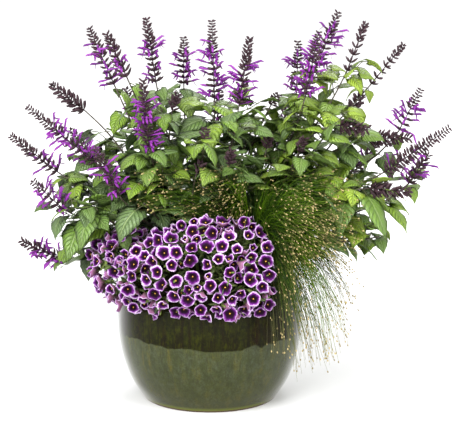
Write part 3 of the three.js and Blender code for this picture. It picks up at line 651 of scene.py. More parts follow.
# Fountain grass
# One tuft of hair-fine blades rises from a crown at the front right, arches over and falls past
# the rim.
GRASS_CROWN = (86, -98)
GRASS_REACH = (110, 220)
GRASS_LIFT = (170, 240)
GRASS_TOP = 470
GRASS_FALL = 400
GRASS_AZIMUTHS = (-118, 250)
GRASS_STOPS = [0.1, 0.38, 0.7]
SEED_LENGTH = 7
NEEDLES = 54
GOLDEN_SHARE = 0.618034


def swing(attempt):
    """0, then 1 and -1, then 2 and -2, and so on."""
    return (1 if attempt % 2 else -1) * ceil(attempt / 2)


def needle_curve(tip, lift):
    out = atan2(tip[1] - GRASS_CROWN[1], tip[0] - GRASS_CROWN[0])
    start = np.array([*GRASS_CROWN, 0]) + around(out, 3, SOIL_TOP + 10)
    first = start + (tip - start) * [0.16, 0.16, 0] + [0, 0, lift]
    second = tip - (tip - start) * [0.1, 0.1, 0]
    second[2] += max(20, (first[2] - tip[2]) * 0.85)
    return np.array([start, first, second, tip])


def needle_points(curve):
    tip = bezier(curve, 1.0)
    along = unit(tip - bezier(curve, 0.95))
    return [*bezier(curve, GRASS_STOPS), tip - along * SEED_LENGTH / 2, tip]


def needle_tip(angle, reach, height):
    return np.array([*GRASS_CROWN, 0]) + around(radians(angle), reach, height)


needles = []
grass_draw = draw_from(909)
for n in range(NEEDLES):
    azimuth = GRASS_AZIMUTHS[0] + GRASS_AZIMUTHS[1] * (n * GOLDEN_SHARE % 1)
    fall = GRASS_FALL * grass_draw()
    reach = grass_draw(*GRASS_REACH)
    lift = grass_draw(*GRASS_LIFT)
    height = GRASS_TOP - fall * max(0, cos(radians(azimuth + 40))) ** 0.7
    for attempt in range(7):
        curve = needle_curve(needle_tip(azimuth + 9 * swing(attempt), reach, height), lift)
        samples = samples_along(needle_points(curve))
        if clears_pot(samples) and is_open(samples, GRASS):
            needles.append(curve)
            claim(samples, GRASS)
            break


# Salvia leaves
# Opposite pairs of soft leaves, heart-shaped and toothed, each pair turned from the one below.
# A leaf hangs on a short stalk, arches down to its point and is puckered between its veins.
BACK_EDGE = 300
LARGE_PETIOLE = 22
# Where no leaf hangs before the grass: the left and right end of that place, its back and its top
GRASS_WINDOW = Facts(left=-85, right=270, back=-125, top=468)
# Half widths of a leaf at every eighth of its length, as shares of the length
LEAF_OUTLINE = [0.20, 0.36, 0.375, 0.35, 0.30, 0.235, 0.155, 0.075, 0.004]
# The height where the leaves start, and how much higher the lightest ones are
LEAF_LOW, LEAF_RANGE = 300, 330
# Large leaves that hang in front: stem, place on it, heading, pitch, droop, roll, length and tint
LARGE_LEAVES = {
    "right_low": [(1, 0.94, -60, -20, 50, 0.4, 106, 0.42), (1, 0.82, -105, -25, 50, -0.5, 92, 0.5),
        (1, 1.0, 10, 10, 60, 0.2, 64, 0.9), (0, 0.8, -50, -10, 60, 0.3, 72, 0.7)],
    "left_inner": [(3, 0.95, 215, -10, 80, 0.3, 84, 0.2)],
    "left_low": [(4, 0.9, 250, -10, 75, -0.3, 78, 0.5), (0, 0.75, 240, -15, 65, 0.3, 80, 0.42),
        (4, 0.6, 200, 10, 80, 0.4, 76, 0.7)],
    "right_inner": [(4, 0.95, -60, 20, 60, 0.6, 90, 0.08), (4, 0.8, 200, 15, 80, -0.4, 84, 0.55)],
    "middle_right": [(1, 0.84, -80, 10, 80, 0.2, 92, 0.92), (2, 0.9, 215, 15, 80, 0.3, 72, 0.5)],
    "middle": [(0, 0.85, -100, 10, 95, -0.3, 88, 0.88), (0, 0.86, 200, 15, 70, 0.3, 76, 0.3),
        (0, 0.95, -60, 20, 80, 0.2, 64, 0.7), (1, 0.95, -110, 20, 80, -0.3, 70, 0.4)],
    "right_front": [(3, 0.9, -90, 15, 80, 0.3, 86, 0.6)],
    "right": [(3, 0.9, -110, 10, 85, -0.2, 84, 0.7)],
    "middle_left": [(2, 0.78, -60, 15, 75, 0.3, 80, 0.45), (2, 0.92, -80, 20, 90, -0.2, 76, 0.95)],
}
# A side shoot's turn, length and rise, how its leaves twist and spread, and the leaves themselves
SHOOT = Facts(
    turn=1.7, reach=(20, 85), rise=(-0.15, 0.9), twist=0.4, spread=1.15,
    pitch=(-5, 40), drop=(25, 105), roll=0.7, petiole=(6, 16), length=(54, 98),
)
# Stems are bare of side shoots above this share of their length, or above 0.8
BARE_ABOVE = {"right": 0.55, "left_inner": 0.6, "left": 0.6}
# More side shoots on every stem: how many, from and to which share of it, and on which plants
MORE_SHOOTS = [
    (5, 0.12, 0.42, list(PLANTS)),
    (4, 0.4, 0.95, ["left_low", "left", "right_low", "right_front"]),
    (5, 0.62, 0.97, ["middle_left", "middle", "middle_right", "right_inner"]),
]


def clamped(value):
    return min(1, max(0, value))


def new_leaf(*facts):
    """A leaf's root, heading, pitch at its foot and at its tip, roll, stalk, length and tint."""
    names = ("root", "heading", "pitch", "pitch_end", "roll", "petiole", "length", "tint")
    return Facts(**dict(zip(names, facts)))


def bend(leaf, along, across, lift):
    """Places on a leaf: along and across it, and lifted off it, in millimetres."""
    curl = (leaf.pitch_end - leaf.pitch) / (leaf.petiole + leaf.length)
    angle = leaf.pitch + curl * along
    run = (np.sin(angle) - sin(leaf.pitch)) / curl
    rise = (cos(leaf.pitch) - np.cos(angle)) / curl
    up = lift + LEAF.fold * np.abs(across)
    sideways = across * cos(leaf.roll) - up * sin(leaf.roll)
    upwards = across * sin(leaf.roll) + up * cos(leaf.roll)
    ahead = (cos(leaf.heading), sin(leaf.heading))
    return leaf.root + np.stack([
        ahead[0] * run + ahead[1] * sideways - ahead[0] * np.sin(angle) * upwards,
        ahead[1] * run - ahead[0] * sideways - ahead[1] * np.sin(angle) * upwards,
        rise + np.cos(angle) * upwards,
    ], axis=-1)


def leaf_samples(leaf):
    points = []
    along = leaf.petiole
    while along <= leaf.petiole + leaf.length:
        share = (along - leaf.petiole) / leaf.length
        shape = min(1, 0.5 + 2.6 * share) * max(0, 1 - share) ** 0.55 * 1.12
        half = 0.5 * LEAF.width * leaf.length * shape
        count = max(1, ceil(half / STEP))
        across = half * np.arange(-count, count + 1) / count
        points.append(bend(leaf, np.full(len(across), along), across, 0))
        along += STEP
    return np.concatenate(points)


def add_leaf(plant, leaf, fits):
    """Adds a leaf to its plant if it clears the pot and fits."""
    samples = leaf_samples(leaf)
    added = clears_pot(samples) and fits(samples)
    if added:
        claim(samples, plant.owner)
        plant.leaves.append(leaf)
    return added


def grow_leaves(plant):
    """Pairs of leaves up each stem. A leaf that would run into something swings aside."""
    draw = plant.draw
    for curve in plant.stems:
        start_turn = draw() * pi
        for i, t in enumerate(leaf_stops(curve)):
            for opposite in (0, pi):
                heading = start_turn + opposite + i * pi / 2 + draw(-LEAF.turn, LEAF.turn)
                size = (1 - LEAF.tip_loss * t**3) * draw(*LEAF.sizes)
                pitch = radians(draw(*LEAF.pitch))
                drop = radians(draw(*LEAF.drop))
                roll = draw(-LEAF.roll, LEAF.roll)
                for attempt in range(LEAF.tries):
                    leaf = new_leaf(
                        point_on_stem(curve, t), heading + swing(attempt) * radians(LEAF.swing),
                        pitch, pitch - drop - LEAF.droop * attempt, roll, LEAF.petiole,
                        LEAF.length * size * (1 - LEAF.try_loss * attempt),
                    )
                    if add_leaf(plant, leaf, lambda samples: is_free(samples, plant.owner)):
                        break


def blade_pattern(columns, rows):
    """A closed blade. Its corners read across from -1 to 1, along from 0 to 1, and 1 on its upper
    face, -1 on its lower face and 0 at its edge."""
    shape = bmesh.new()
    bmesh.ops.create_grid(shape, x_segments=columns, y_segments=rows, size=1)
    for corner in shape.verts:
        corner.co.z = 0 if corner.is_boundary else 1
        corner.co.y = (corner.co.y + 1) / 2
    lower = bmesh.ops.duplicate(shape, geom=shape.verts[:] + shape.edges[:] + shape.faces[:])["geom"]
    bmesh.ops.reverse_faces(shape, faces=[part for part in lower if isinstance(part, bmesh.types.BMFace)])
    for part in lower:
        if isinstance(part, bmesh.types.BMVert):
            part.co.z = -part.co.z
    bmesh.ops.remove_doubles(shape, verts=shape.verts, dist=1e-4)
    return pattern_arrays(shape)


BLADE = blade_pattern(4, 8)
PETIOLE = rod_pattern(4, 4)
STEM_ROD = rod_pattern(6, 20)
SHOOT_ROD = rod_pattern(5, 6)


def blade_places(leaf):
    """A leaf's blade: lobed at its base, toothed along its edge and waved a little."""
    across, share, face = BLADE[0].T
    edge = np.abs(across)
    row = np.rint(share * 8).astype(int)
    tooth = 1 + 0.05 * np.where(row % 2 == 0, -1, 1) * (edge > 0.99) * (row > 0)
    half = np.array(LEAF_OUTLINE)[row] * leaf.length
    along = leaf.petiole + leaf.length * (share - 0.15 * edge**2 * (1 - share) ** 4)
    wave = 0.025 * leaf.length * edge**2 * np.sin(9 * share + 7 * leaf.tint + 2 * np.sign(across))
    return bend(leaf, along, across * half * tooth, 0.35 * face + wave)


def petiole_places(leaf):
    along = np.array([-1, 0.3 * leaf.petiole, 0.7 * leaf.petiole, leaf.petiole + 3])
    line = bend(leaf, along, np.zeros(4), np.full(4, -0.3))
    return along_line(PETIOLE, line, [1.3, 1.0, 0.9, 0.7])


def form_of(shader):
    vector = add(shader, "Attribute", {}, attribute_name="form").outputs["Vector"]
    return add(shader, "SeparateXYZ", {0: vector}).outputs


salvia_leaf, shader = new_material("soft_puckered_leaf", 0.38)
across, share, _ = form_of(shader)
edge = calc("ABSOLUTE", across)
curve = times(calc("POWER", edge, 1.25), 0.30)
phase = calc("FRACT", times(calc("SUBTRACT", share, curve), 8.0))
vein = ramp(calc("ABSOLUTE", calc("MULTIPLY_ADD", phase, 2.0, -1.0)), (0.60, 0), (0.95, 1))
rib = ramp(edge, (0.03, 1), (0.09, 0))
creases_and_painted_shade = calc("MAXIMUM", vein, ramp(edge, (0.05, 1), (0.22, 0)))
patch = calc("SUBTRACT", noise(shader, 60.0, 3.0), 0.5)
green = ramp(
    calc("MULTIPLY_ADD", patch, 0.35, tint_of(shader)),
    (0.0, 0.092, 0.136, 0.062), (1.0, 0.330, 0.470, 0.038), (0.25, 0.112, 0.182, 0.050),
    (0.45, 0.130, 0.228, 0.030), (0.65, 0.180, 0.305, 0.026), (0.85, 0.250, 0.385, 0.030),
)
dull = calc("FRACT", times(tint_of(shader), 7.3))
green = blend(times(dull, 0.60), green, (0.094, 0.155, 0.056))
# Painted shade: the vein creases and the groove beside the midrib are painted darker, as they would be in
# shadow.
green = blend(times(creases_and_painted_shade, 0.17), green, (0.018, 0.048, 0.008))
green = blend(times(rib, 0.38), green, (0.330, 0.430, 0.160))
pucker = noise(shader, 420.0, 2.0)
dress(shader, green, calc("MULTIPLY_ADD", pucker, 0.3, calc("SUBTRACT", rib, creases_and_painted_shade)), 0.0024)

dark_stem, shader = new_material("dark_square_stem", 0.5)
grain = noise(shader, 90.0, 4.0)
colour = ramp(grain, (0.35, 0.020, 0.009, 0.012), (0.75, 0.070, 0.036, 0.030))
dress(shader, blend(tint_of(shader), colour, (0.090, 0.120, 0.030)), grain, 0.001)


def hides_grass(points):
    """Whether a leaf would hang before the grass where it shows between the leaves and the bells."""
    x, y, z = points.T
    across = (x > GRASS_WINDOW.left) & (x < GRASS_WINDOW.right)
    return bool(np.any(across & (y < GRASS_WINDOW.back) & (z < GRASS_WINDOW.top)))


def has_room(points):
    """Whether a leaf keeps in front of the back's edge, off the grass and mostly in free cells."""
    cells = cells_of(points)
    crowding = sum(1 for cell in cells if cell in taken) / len(cells)
    return points[:, 1].max() <= BACK_EDGE and not hides_grass(points) and crowding < 0.30


def painted_light_on_right(x):
    """How much lighter the leaves are painted towards the right: painted light, as that side is lit
    brighter.
    """
    return 0.24 * clamped((x - 60) / 140)


def side_shoot(plant, curve, t):
    """A young shoot from a leaf's axil, with its own smaller leaves."""
    start = point_on_stem(curve, t)
    turn = atan2(start[1], start[0]) + more_draw(-SHOOT.turn, SHOOT.turn)
    reach = more_draw(*SHOOT.reach) * (1 - 0.35 * t)
    way = unit(around(turn, 1, more_draw(*SHOOT.rise)))
    line = np.array([start, start + way * reach * 0.5, start + way * reach + [0, 0, reach * 0.12]])
    if not clears_pot(line):
        return
    before = len(plant.leaves)
    young = more_draw()
    for share, root, twist in ((0.5, line[1], 0), (1.0, line[2], pi / 2)):
        pair_turn = turn + twist + more_draw(-SHOOT.twist, SHOOT.twist)
        for opposite in (-SHOOT.spread, SHOOT.spread):
            pitch = radians(more_draw(*SHOOT.pitch))
            leaf = new_leaf(
                root, pair_turn + opposite, pitch, pitch - radians(more_draw(*SHOOT.drop)),
                more_draw(-SHOOT.roll, SHOOT.roll), more_draw(*SHOOT.petiole),
                more_draw(*SHOOT.length) * (1.1 - 0.3 * share) * (1 - 0.3 * t),
                # The tint: lighter near the stem's end and at random, plus painted light towards the right.
                0.20 + 0.45 * t + 0.6 * (young - 0.5) + 0.2 * (more_draw() - 0.5) + painted_light_on_right(root[0]),
            )
            leaf.tint = clamped(leaf.tint)
            add_leaf(plant, leaf, has_room)
    if len(plant.leaves) > before:
        plant.shoots.append(evenly(smooth_through(line, 3), 6))


for plant in plants:
    grow_leaves(plant)
more_draw = draw_from(77)
for plant in plants:
    for leaf in plant.leaves:
        lift = (leaf.root[2] - LEAF_LOW) / LEAF_RANGE
        # Lighter higher up and at random, plus painted light towards the right.
        tint = 0.18 + 0.45 * lift + 0.75 * (more_draw() - 0.5) + painted_light_on_right(leaf.root[0])
        leaf.tint = clamped(tint)
for plant in plants:
    for stem, t, heading, pitch, drop, roll, length, tint in LARGE_LEAVES.get(plant.name, []):
        heading, pitch, pitch_end = map(radians, (heading, pitch, pitch - drop))
        root = point_on_stem(plant.stems[stem], t)
        leaf = new_leaf(root, heading, pitch, pitch_end, roll, LARGE_PETIOLE, length, tint)
        add_leaf(plant, leaf, lambda samples: True)
for plant in plants:
    for curve in plant.stems:
        for t in leaf_stops(curve):
            bare = t > BARE_ABOVE.get(plant.name, 0.8)
            for _ in range(0 if bare else 3 if more_draw() > 0.8 * t else 1):
                side_shoot(plant, curve, more_draw(t - 0.06, min(t + 0.05, 0.96)))
        for count, low, high, names in MORE_SHOOTS:
            for _ in range(count if plant.name in names else 0):
                side_shoot(plant, curve, more_draw(low, high))

for plant in plants:
    name = plant.name
    leaves = plant.leaves
    blades = [blade_places(leaf) for leaf in leaves]
    mesh = mesh_of_copies((BLADE, blades, [leaf.tint for leaf in leaves]))
    set_piece(f"leaves_{name}", mesh, salvia_leaf, "leaf", f"salvia_{name}")
    stems = []
    for curve in plant.stems:
        stops = leaf_stops(curve)
        pairs = [point_on_stem(curve, t) for t in stops]
        line = smooth_through([curve[0], bezier(curve, stops[0] / 2), *pairs, curve[3]], 6)
        stems.append(along_line(STEM_ROD, evenly(line, 20), np.linspace(3.2, 1.5, 20)))
    shoots = [along_line(SHOOT_ROD, line, np.linspace(1.3, 0.8, 6)) for line in plant.shoots]
    crown = [(*plant.root, SOIL_TOP + rise) for rise in (-20, -8, -2, 4, 8, 11)]
    mesh = mesh_of_copies(
        (STEM_ROD, stems, 0.15), (SHOOT_ROD, shoots, 0.6),
        (SHOOT_ROD, [along_line(SHOOT_ROD, crown, [7, 7.5, 7.5, 7, 6, 3.5])], 0.0),
        (PETIOLE, [petiole_places(leaf) for leaf in leaves], 0.55),
    )
    set_piece(f"stems_{name}", mesh, dark_stem, "leaf")


# Salvia spikes
# Each flowering stem ends in a spike: rings of narrow ribbed calyces, nearly black, that get
# smaller to the tip. From some of them a purple flower stands out, with a tube that widens to
# a hooked upper lip and a hanging lower lip.
CALYX = Facts(spacing=11.5, reach=13.5, rise=7, rise_share=0.6, lowest=0.3, axis=1.9, tip_loss=0.55)
COROLLA = Facts(length=27, rareness=1.6, highest=0.75)
CALYX_ROD = rod_pattern(5, 4)
AXIS_ROD = rod_pattern(5, 8)
TUBE_ROD = rod_pattern(6, 7)
LIP = blade_pattern(2, 3)


def off_axis(spike, heights, distances, angle):
    """Places beside a spike, at heights up its axis and distances from it."""
    out = cos(angle) * spike.side + sin(angle) * spike.other
    return spike.foot + np.outer(heights, spike.along) + np.outer(distances, out)


def add_flower(parts, spike, height, angle, lift, size):
    """Adds a flower's tube, which ends in the hooked upper lip, and its hanging lower lip."""
    reach = COROLLA.length * within(1.05, 1.45, lift * 7 % 1) * (0.75 + 0.25 * size)
    up = reach * within(0.15, 0.50, lift)
    start = height - CALYX.axis
    distances = [0.5, *(reach * np.array([0.32, 0.64, 0.86, 1]))]
    line = off_axis(spike, start + up * np.array([0, 0.4, 0.8, 1.08, 0.98]), distances, angle)
    line = evenly(smooth_through(line, 4), 7)
    parts.tube.append(along_line(TUBE_ROD, line, [0.9, 1.1, 1.4, 2.0, 2.4, 2.2, 0.5]))
    across, share, face = LIP[0].T
    out = (0.62 + 0.20 * share**2) * reach + 0.4 * face
    wide = 2.9 * np.sin(np.pi * (0.25 + 0.6 * share)) * across
    sideways = cos(angle) * spike.other - sin(angle) * spike.side
    lip = off_axis(spike, start + 0.74 * up - 11 * share, out, angle)
    parts.lip.append(lip + np.outer(wide, sideways))


def add_spike(parts, plant, foot, tip, corollas):
    """Adds the axis, calyces and flowers of one spike, as places of their patterns' corners."""
    foot, tip = np.array(foot, float), np.array(tip, float)
    length = np.linalg.norm(tip - foot)
    along = unit(tip - foot)
    side, other = frame_on(along, Y_AXIS if abs(along[0]) > 0.9 else X_AXIS)
    spike = Facts(foot=foot, along=along, side=side, other=other)
    whorls = max(2, floor(length / CALYX.spacing + 0.5))
    slender = corollas == 0 and foot[2] > 600
    parts.axis.append(along_line(AXIS_ROD, evenly([foot - along * 3, tip], 8), np.linspace(1.5, 0.7, 8)))
    steep = spike_draw(0.5, 1.7)
    for i in range(whorls):
        share = i / whorls
        size = 1 - CALYX.tip_loss * share**2
        height = (share + CALYX.lowest / whorls) * length
        if slender:
            height = (1 - (1 - share) ** 1.5) * length
        rise = min(CALYX.rise, CALYX.rise_share * length / whorls) * size
        mouths = []
        for c in range(2):
            angle = (i % 2 + c * 2) * pi / 2 + plant.draw(-0.4, 0.4)
            lift = plant.draw()
            if plant.draw() * whorls * COROLLA.rareness < corollas and share < COROLLA.highest:
                mouths.append((angle, lift))
        for _ in range(3):
            if share < 0.62 and spike_draw() < 0.21 * corollas:
                mouths.append((2 * pi * spike_draw(), spike_draw()))
        for angle, lift in mouths:
            add_flower(parts, spike, height, angle, lift, size)
        rings = 2 if share > 0.45 or (corollas < 2 and not slender) else 1
        for c in range(6 * rings):
            up = height + (c % rings) * 0.5 * length / whorls
            angle = c * pi / 3 + i * 0.5 + 0.5 * (spike_draw() - 0.5)
            grow = size * spike_draw(0.85, 1.15)
            grow *= 0.80 if slender or length < 45 else 1.12 if corollas < 2 else 1
            tip_rise = steep * rise * spike_draw(0.6, 1.3)
            distances = [0.8, *(np.array([0.38, 0.78, 1.15]) * CALYX.reach * grow)]
            line = off_axis(spike, up + tip_rise * np.array([0, 0.2, 0.6, 1]), distances, angle)
            thick = np.array([0.8, 2.1, 2.5, 1.1]) * (0.4 + 0.6 * grow)
            parts.calyx.append(along_line(CALYX_ROD, line, thick))


calyx_skin, shader = new_material("dark_ribbed_calyx", 0.6, 0.25)
fine = noise(shader, 240.0, 4.0)
colour = ramp(fine, (0.3, 0.007, 0.002, 0.004), (0.75, 0.050, 0.020, 0.028))
colour = blend(times(tint_of(shader), 0.45), colour, (0.100, 0.056, 0.070))
dress(shader, colour, fine, 0.0012)

petal_skin, shader = new_material("velvet_purple_petal", 0.45, 0.3)
fine = noise(shader, 180.0, 3.0)
colour = ramp(fine, (0.3, 0.062, 0.003, 0.100), (0.75, 0.200, 0.013, 0.270))
dress(shader, blend(tint_of(shader), colour, (0.380, 0.060, 0.460)), fine, 0.0008)

spike_draw = draw_from(515)
for plant in plants:
    name = plant.name
    parts = Facts(axis=[], calyx=[], tube=[], lip=[])
    for foot, tip, corollas in plant.flowers:
        add_spike(parts, plant, foot, tip, corollas)
    mesh = mesh_of_copies(
        (AXIS_ROD, parts.axis, 0.5),
        (CALYX_ROD, parts.calyx, [spike_draw() for _ in parts.calyx]),
    )
    nodes = [f"spike_{name}_{i + 1}" for i in range(len(plant.flowers))]
    set_piece(f"calyces_{name}", mesh, calyx_skin, "calyx", *nodes)
    if parts.tube:
        tints = [0.5 * spike_draw() for _ in parts.tube]
        mesh = mesh_of_copies((TUBE_ROD, parts.tube, tints), (LIP, parts.lip, tints))
        set_piece(f"corollas_{name}", mesh, petal_skin, "petal")


# Bell flowers
# Round flowers of five joined lobes on a short funnel: a yellow eye in a dark throat, a violet
# face and a pale scalloped edge. Their backs are a dull pink. Small green leaves fill the mat.
MORE_BELLS = Facts(draws=2600, spacing=18.5, sink=(2, 16), lean=0.8, sizes=(0.62, 1))
EYE = Facts(radius=1.6, depth=5.2)
SMALL_LEAVES = 7
BELL_ROD = rod_pattern(15, 6)
BELL_RING = np.rint(BELL_ROD[0][:, 2] * 5).astype(int)
BELL_TURN = np.arctan2(BELL_ROD[0][:, 1], BELL_ROD[0][:, 0])
FACE_REACH = np.array([0.05, 0.30, 0.62, 1.0, 0.5, 0.1])[BELL_RING]
# What the bell's material reads: across its face, and the way from its throat to its foot
BELL_FORM = np.column_stack([circle(BELL_TURN, *np.eye(2)) * FACE_REACH[:, None], BELL_ROD[0][:, 2]])
TWIG = rod_pattern(4, 5)
SMALL_LEAF = blade_pattern(2, 4)


def bell_places(bell, level):
    """The corners of a bell, from the foot of its throat over its edge to the foot of its back."""
    ring, turn = BELL_RING, BELL_TURN
    own = bell.turn
    reach = BELL.radius * bell.size * within(0.84, 1.14, own * 5 % 1)
    scallop = 0.88 + 0.13 * np.abs(np.sin(2.5 * turn)) + 0.06 * np.sin(2 * turn + own * 11)
    radius = np.array([1.3, 4.4, 0.62 * reach, reach, 6.2, 1.3])[ring] * np.where(ring == 3, scallop, 1)
    depth = np.array([-7.5, -5.4, -2.2, 0.0, -8.8, -17.0])[ring]
    wave = 2.3 * np.cos(5 * turn + own) + 2.4 * np.sin(2 * turn + own * 3)
    wave = wave + 1.7 * np.sin(3 * turn + own * 7)
    depth = depth + wave * np.array([0, 0, 0.35, 1, 0.3, 0])[ring]
    flat = circle(turn + own, *frame_on(bell.normal, level))
    return bell.centre + radius[:, None] * flat + depth[:, None] * bell.normal


def spot_of(bell):
    """Where a bell is round the pot and over the rim, in degrees."""
    x, y, _ = bell.centre
    return degrees(atan2(y, x)) % 360, degrees(bell.angle)


def thin_place(bell):
    """Where the mat is thin: high up at the left, low down in the middle, and in small patches."""
    azimuth, angle = spot_of(bell)
    high_left = 222 < azimuth < 256 and angle > 46
    low_middle = 248 < azimuth < 279 and angle < -32
    patch = sin(radians(azimuth * 9)) * sin(radians(angle * 5 + azimuth * 3)) > 0.25
    return high_left or low_middle or patch


def settle(bell):
    """Lets the mat sink at the upper left, and parts its left lobe from the rest."""
    azimuth, angle = spot_of(bell)
    sink = 40 * exp(-(((azimuth - 227) / 21) ** 2)) * clamped((angle - 5) / 45)
    part = 22 * exp(-(((azimuth - 215) / 4) ** 2)) * (angle > -15)
    bell.centre = bell.centre - bell.normal * part - [0, 0, sink]


more_bells = draw_from(8181)
for _ in range(MORE_BELLS.draws):
    home, bell = draw_bell(more_bells)
    if thin_place(bell):
        continue
    bell.centre = bell.centre - bell.normal * more_bells(*MORE_BELLS.sink)
    bell.normal = leaning(bell.normal, MORE_BELLS.lean, more_bells)
    bell.size *= more_bells(*MORE_BELLS.sizes)
    spacing = MORE_BELLS.spacing
    if clears_pot([bell.centre]) and keeps_off(home, bell.centre, spacing, spacing):
        sprays[home].more.append(bell)
for spray in sprays:
    for bell in spray.bells + spray.more:
        settle(bell)
        bell.normal = leaning(bell.normal, 0.45, more_bells)

bell_petal, shader = new_material("violet_face_pale_edge", 0.7, 0.1)
across, along, way = form_of(shader)
reach = calc("SQRT", calc("MULTIPLY_ADD", across, across, times(along, along)))
turn = calc("ARCTAN2", along, across)
ragged = noise(shader, 300.0, 3.0)
shift = calc("MULTIPLY_ADD", calc("COSINE", times(turn, 5.0)), 0.036, reach)
shift = calc("MULTIPLY_ADD", calc("SUBTRACT", ragged, 0.5), 0.34, shift)
shift = calc("MULTIPLY_ADD", tint_of(shader), -0.15, calc("ADD", shift, 0.03))
face = ramp(
    shift, (0.0, 0.024, 0.004, 0.006), (1.0, 0.860, 0.740, 0.900), (0.36, 0.008, 0.001, 0.007),
    (0.50, 0.030, 0.002, 0.040), (0.65, 0.100, 0.008, 0.140), (0.74, 0.260, 0.060, 0.330),
    (0.83, 0.660, 0.430, 0.740),
)
back = ramp(way, (0.6, 0.400, 0.160, 0.340), (1.0, 0.150, 0.130, 0.045))
back = blend(times(ragged, 0.6), back, (0.150, 0.020, 0.120))
colour = blend(ramp(way, (0.60, 0), (0.66, 1)), face, back)
rays = calc("COSINE", times(turn, 25.0))
dress(shader, colour, calc("MULTIPLY_ADD", rays, 0.3, ragged), 0.0006)

eye_skin, shader = new_material("yellow_anthers", 0.6)
dress(shader, ramp(noise(shader, 700.0), (0.35, 0.330, 0.130, 0.012), (0.65, 0.800, 0.480, 0.060)))

small_green, shader = new_material("small_green_leaf", 0.5)
rib = ramp(calc("ABSOLUTE", form_of(shader)[0]), (0.04, 1), (0.16, 0))
green = ramp(tint_of(shader), (0.0, 0.012, 0.030, 0.006), (1.0, 0.190, 0.270, 0.045))
dress(shader, blend(times(rib, 0.4), green, (0.300, 0.360, 0.130)), rib, 0.0008)

green_draw = draw_from(606)


def small_leaf(core, foot):
    """A small leaf beside the twig between the mat's core and the foot of a bell."""
    root = within(core, foot, green_draw(0.15, 1.1))
    root = root + 12 * (np.array([green_draw() for _ in range(3)]) - 0.5)
    pitch = radians(green_draw(-20, 60))
    return new_leaf(
        root, 2 * pi * green_draw(), pitch, pitch - green_draw(0.2, 1.2), green_draw(-1, 1),
        2, green_draw(13, 24), green_draw(),
    )


def small_blade(leaf):
    across, share, face = SMALL_LEAF[0].T
    half = np.maximum(0.19 * leaf.length * np.sin(np.pi * (0.08 + 0.92 * share)) ** 0.8, 0.2)
    return bend(leaf, leaf.petiole + leaf.length * share, across * half, 0.3 * face)


for number, spray in enumerate(sprays, 1):
    azimuth = spray.azimuth
    level = around(azimuth + pi / 2, 1)
    bells = spray.bells + spray.more
    places = [bell_places(bell, level) for bell in bells]
    mesh = mesh_of_copies((BELL_ROD, places, [green_draw() for _ in bells], BELL_FORM))
    set_piece(f"bell_flowers_{number}", mesh, bell_petal, "petal", f"bells_{number}")
    eyes = [bell.centre - bell.normal * EYE.depth + BALL[0] * EYE.radius for bell in bells]
    set_piece(f"bell_eyes_{number}", mesh_of_copies((BALL, eyes, 0.5)), eye_skin, "petal")
    stalk = [around(azimuth, SPRAY_CIRCLE, SOIL_TOP + rise) for rise in (-18, 0, 8)]
    spine = smooth_through([*stalk, *[around(azimuth, *stop[1:3]) for stop in CORE]], 3)
    twigs = [along_line(TWIG, evenly(spine, 5), [4, 3.2, 2.6, 2, 1.2])]
    leaves = []
    for bell in bells:
        core = core_at(azimuth, degrees(bell.angle))
        foot = bell.centre - bell.normal * 15
        line = smooth_through([core, (core + foot) / 2 + [0, 0, 5], foot], 3)
        twigs.append(along_line(TWIG, evenly(line, 5), [1.2, 1.1, 1.0, 0.9, 0.8]))
        leaves += [small_leaf(core, foot) for _ in range(SMALL_LEAVES)]
    leaves = [leaf for leaf in leaves if clears_pot(small_blade(leaf))]
    mesh = mesh_of_copies(
        (SMALL_LEAF, [small_blade(leaf) for leaf in leaves], [leaf.tint for leaf in leaves]),
        (TWIG, twigs, 0.35, np.tile([1.0, 0.5, 0.0], (len(TWIG[0]), 1))),
    )
    set_piece(f"bell_greens_{number}", mesh, small_green, "leaf")


# Grass blades
# The tuft's blades are as fine as hair, green below and straw at their tips, where most of them
# carry one or two seed heads the size of a rice grain. They fall in arcs, hundreds deep.
BLADE_ROD = rod_pattern(3, 9)
SEED_ROD = rod_pattern(4, 4)
ALL_BLADES = 3000
# How many blades a clump has, and how far they stray from its middle
CLUMP = Facts(blades=16, azimuth=9, reach=28, down=70, up=45, lift=25)
# The tuft falls in two lobes, a small one to the left and a large one to the front and right
LEFT_LOBE = Facts(azimuths=(178, 262), lift=(110, 185), uneven=45, forward=0)
RIGHT_LOBE = Facts(azimuths=(-126, 70), lift=(70, 165), uneven=60, forward=1)
LEFT_SHARE = 0.16
FRONT_EDGE = -300
# Blades over the bell flowers stay above this height or inside this radius
OVER_BELLS = Facts(height=402, radius=128)


def before_bells(points):
    """Whether a blade would hang in front of the bell flowers or through them."""
    azimuth = np.degrees(np.arctan2(points[:, 1], points[:, 0])) % 360
    radius = np.hypot(points[:, 0], points[:, 1])
    beside = (azimuth > BELL_AZIMUTHS[0] - 12) & (azimuth < BELL_AZIMUTHS[1] - 1)
    return bool(np.any(beside & (points[:, 2] < OVER_BELLS.height) & (radius > OVER_BELLS.radius)))


def add_seed(end, along, steps, radii):
    seeds.append(along_line(SEED_ROD, [end + along * step for step in steps], radii))


grass_skin, shader = new_material("fine_grass_blade", 0.55, 0.12)
# Each clump's tint runs from near black to green. The tone differs at random, and the near-black clumps are
# painted shade between the blades.
green = ramp(
    tint_of(shader), (0.0, 0.002, 0.004, 0.001), (1.0, 0.110, 0.215, 0.005), (0.5, 0.018, 0.046, 0.002),
)
dry = ramp(form_of(shader)[2], (0.86, 0), (1.0, 0.60))
dress(shader, blend(dry, green, (0.280, 0.250, 0.080)))

seed_skin, shader = new_material("straw_seed_head", 0.7)
fine = noise(shader, 600.0, 2.0)
colour = ramp(fine, (0.35, 0.360, 0.270, 0.095), (0.7, 0.640, 0.510, 0.240))
dress(shader, blend(times(tint_of(shader), 0.95), colour, (0.110, 0.085, 0.020)), fine, 0.0006)

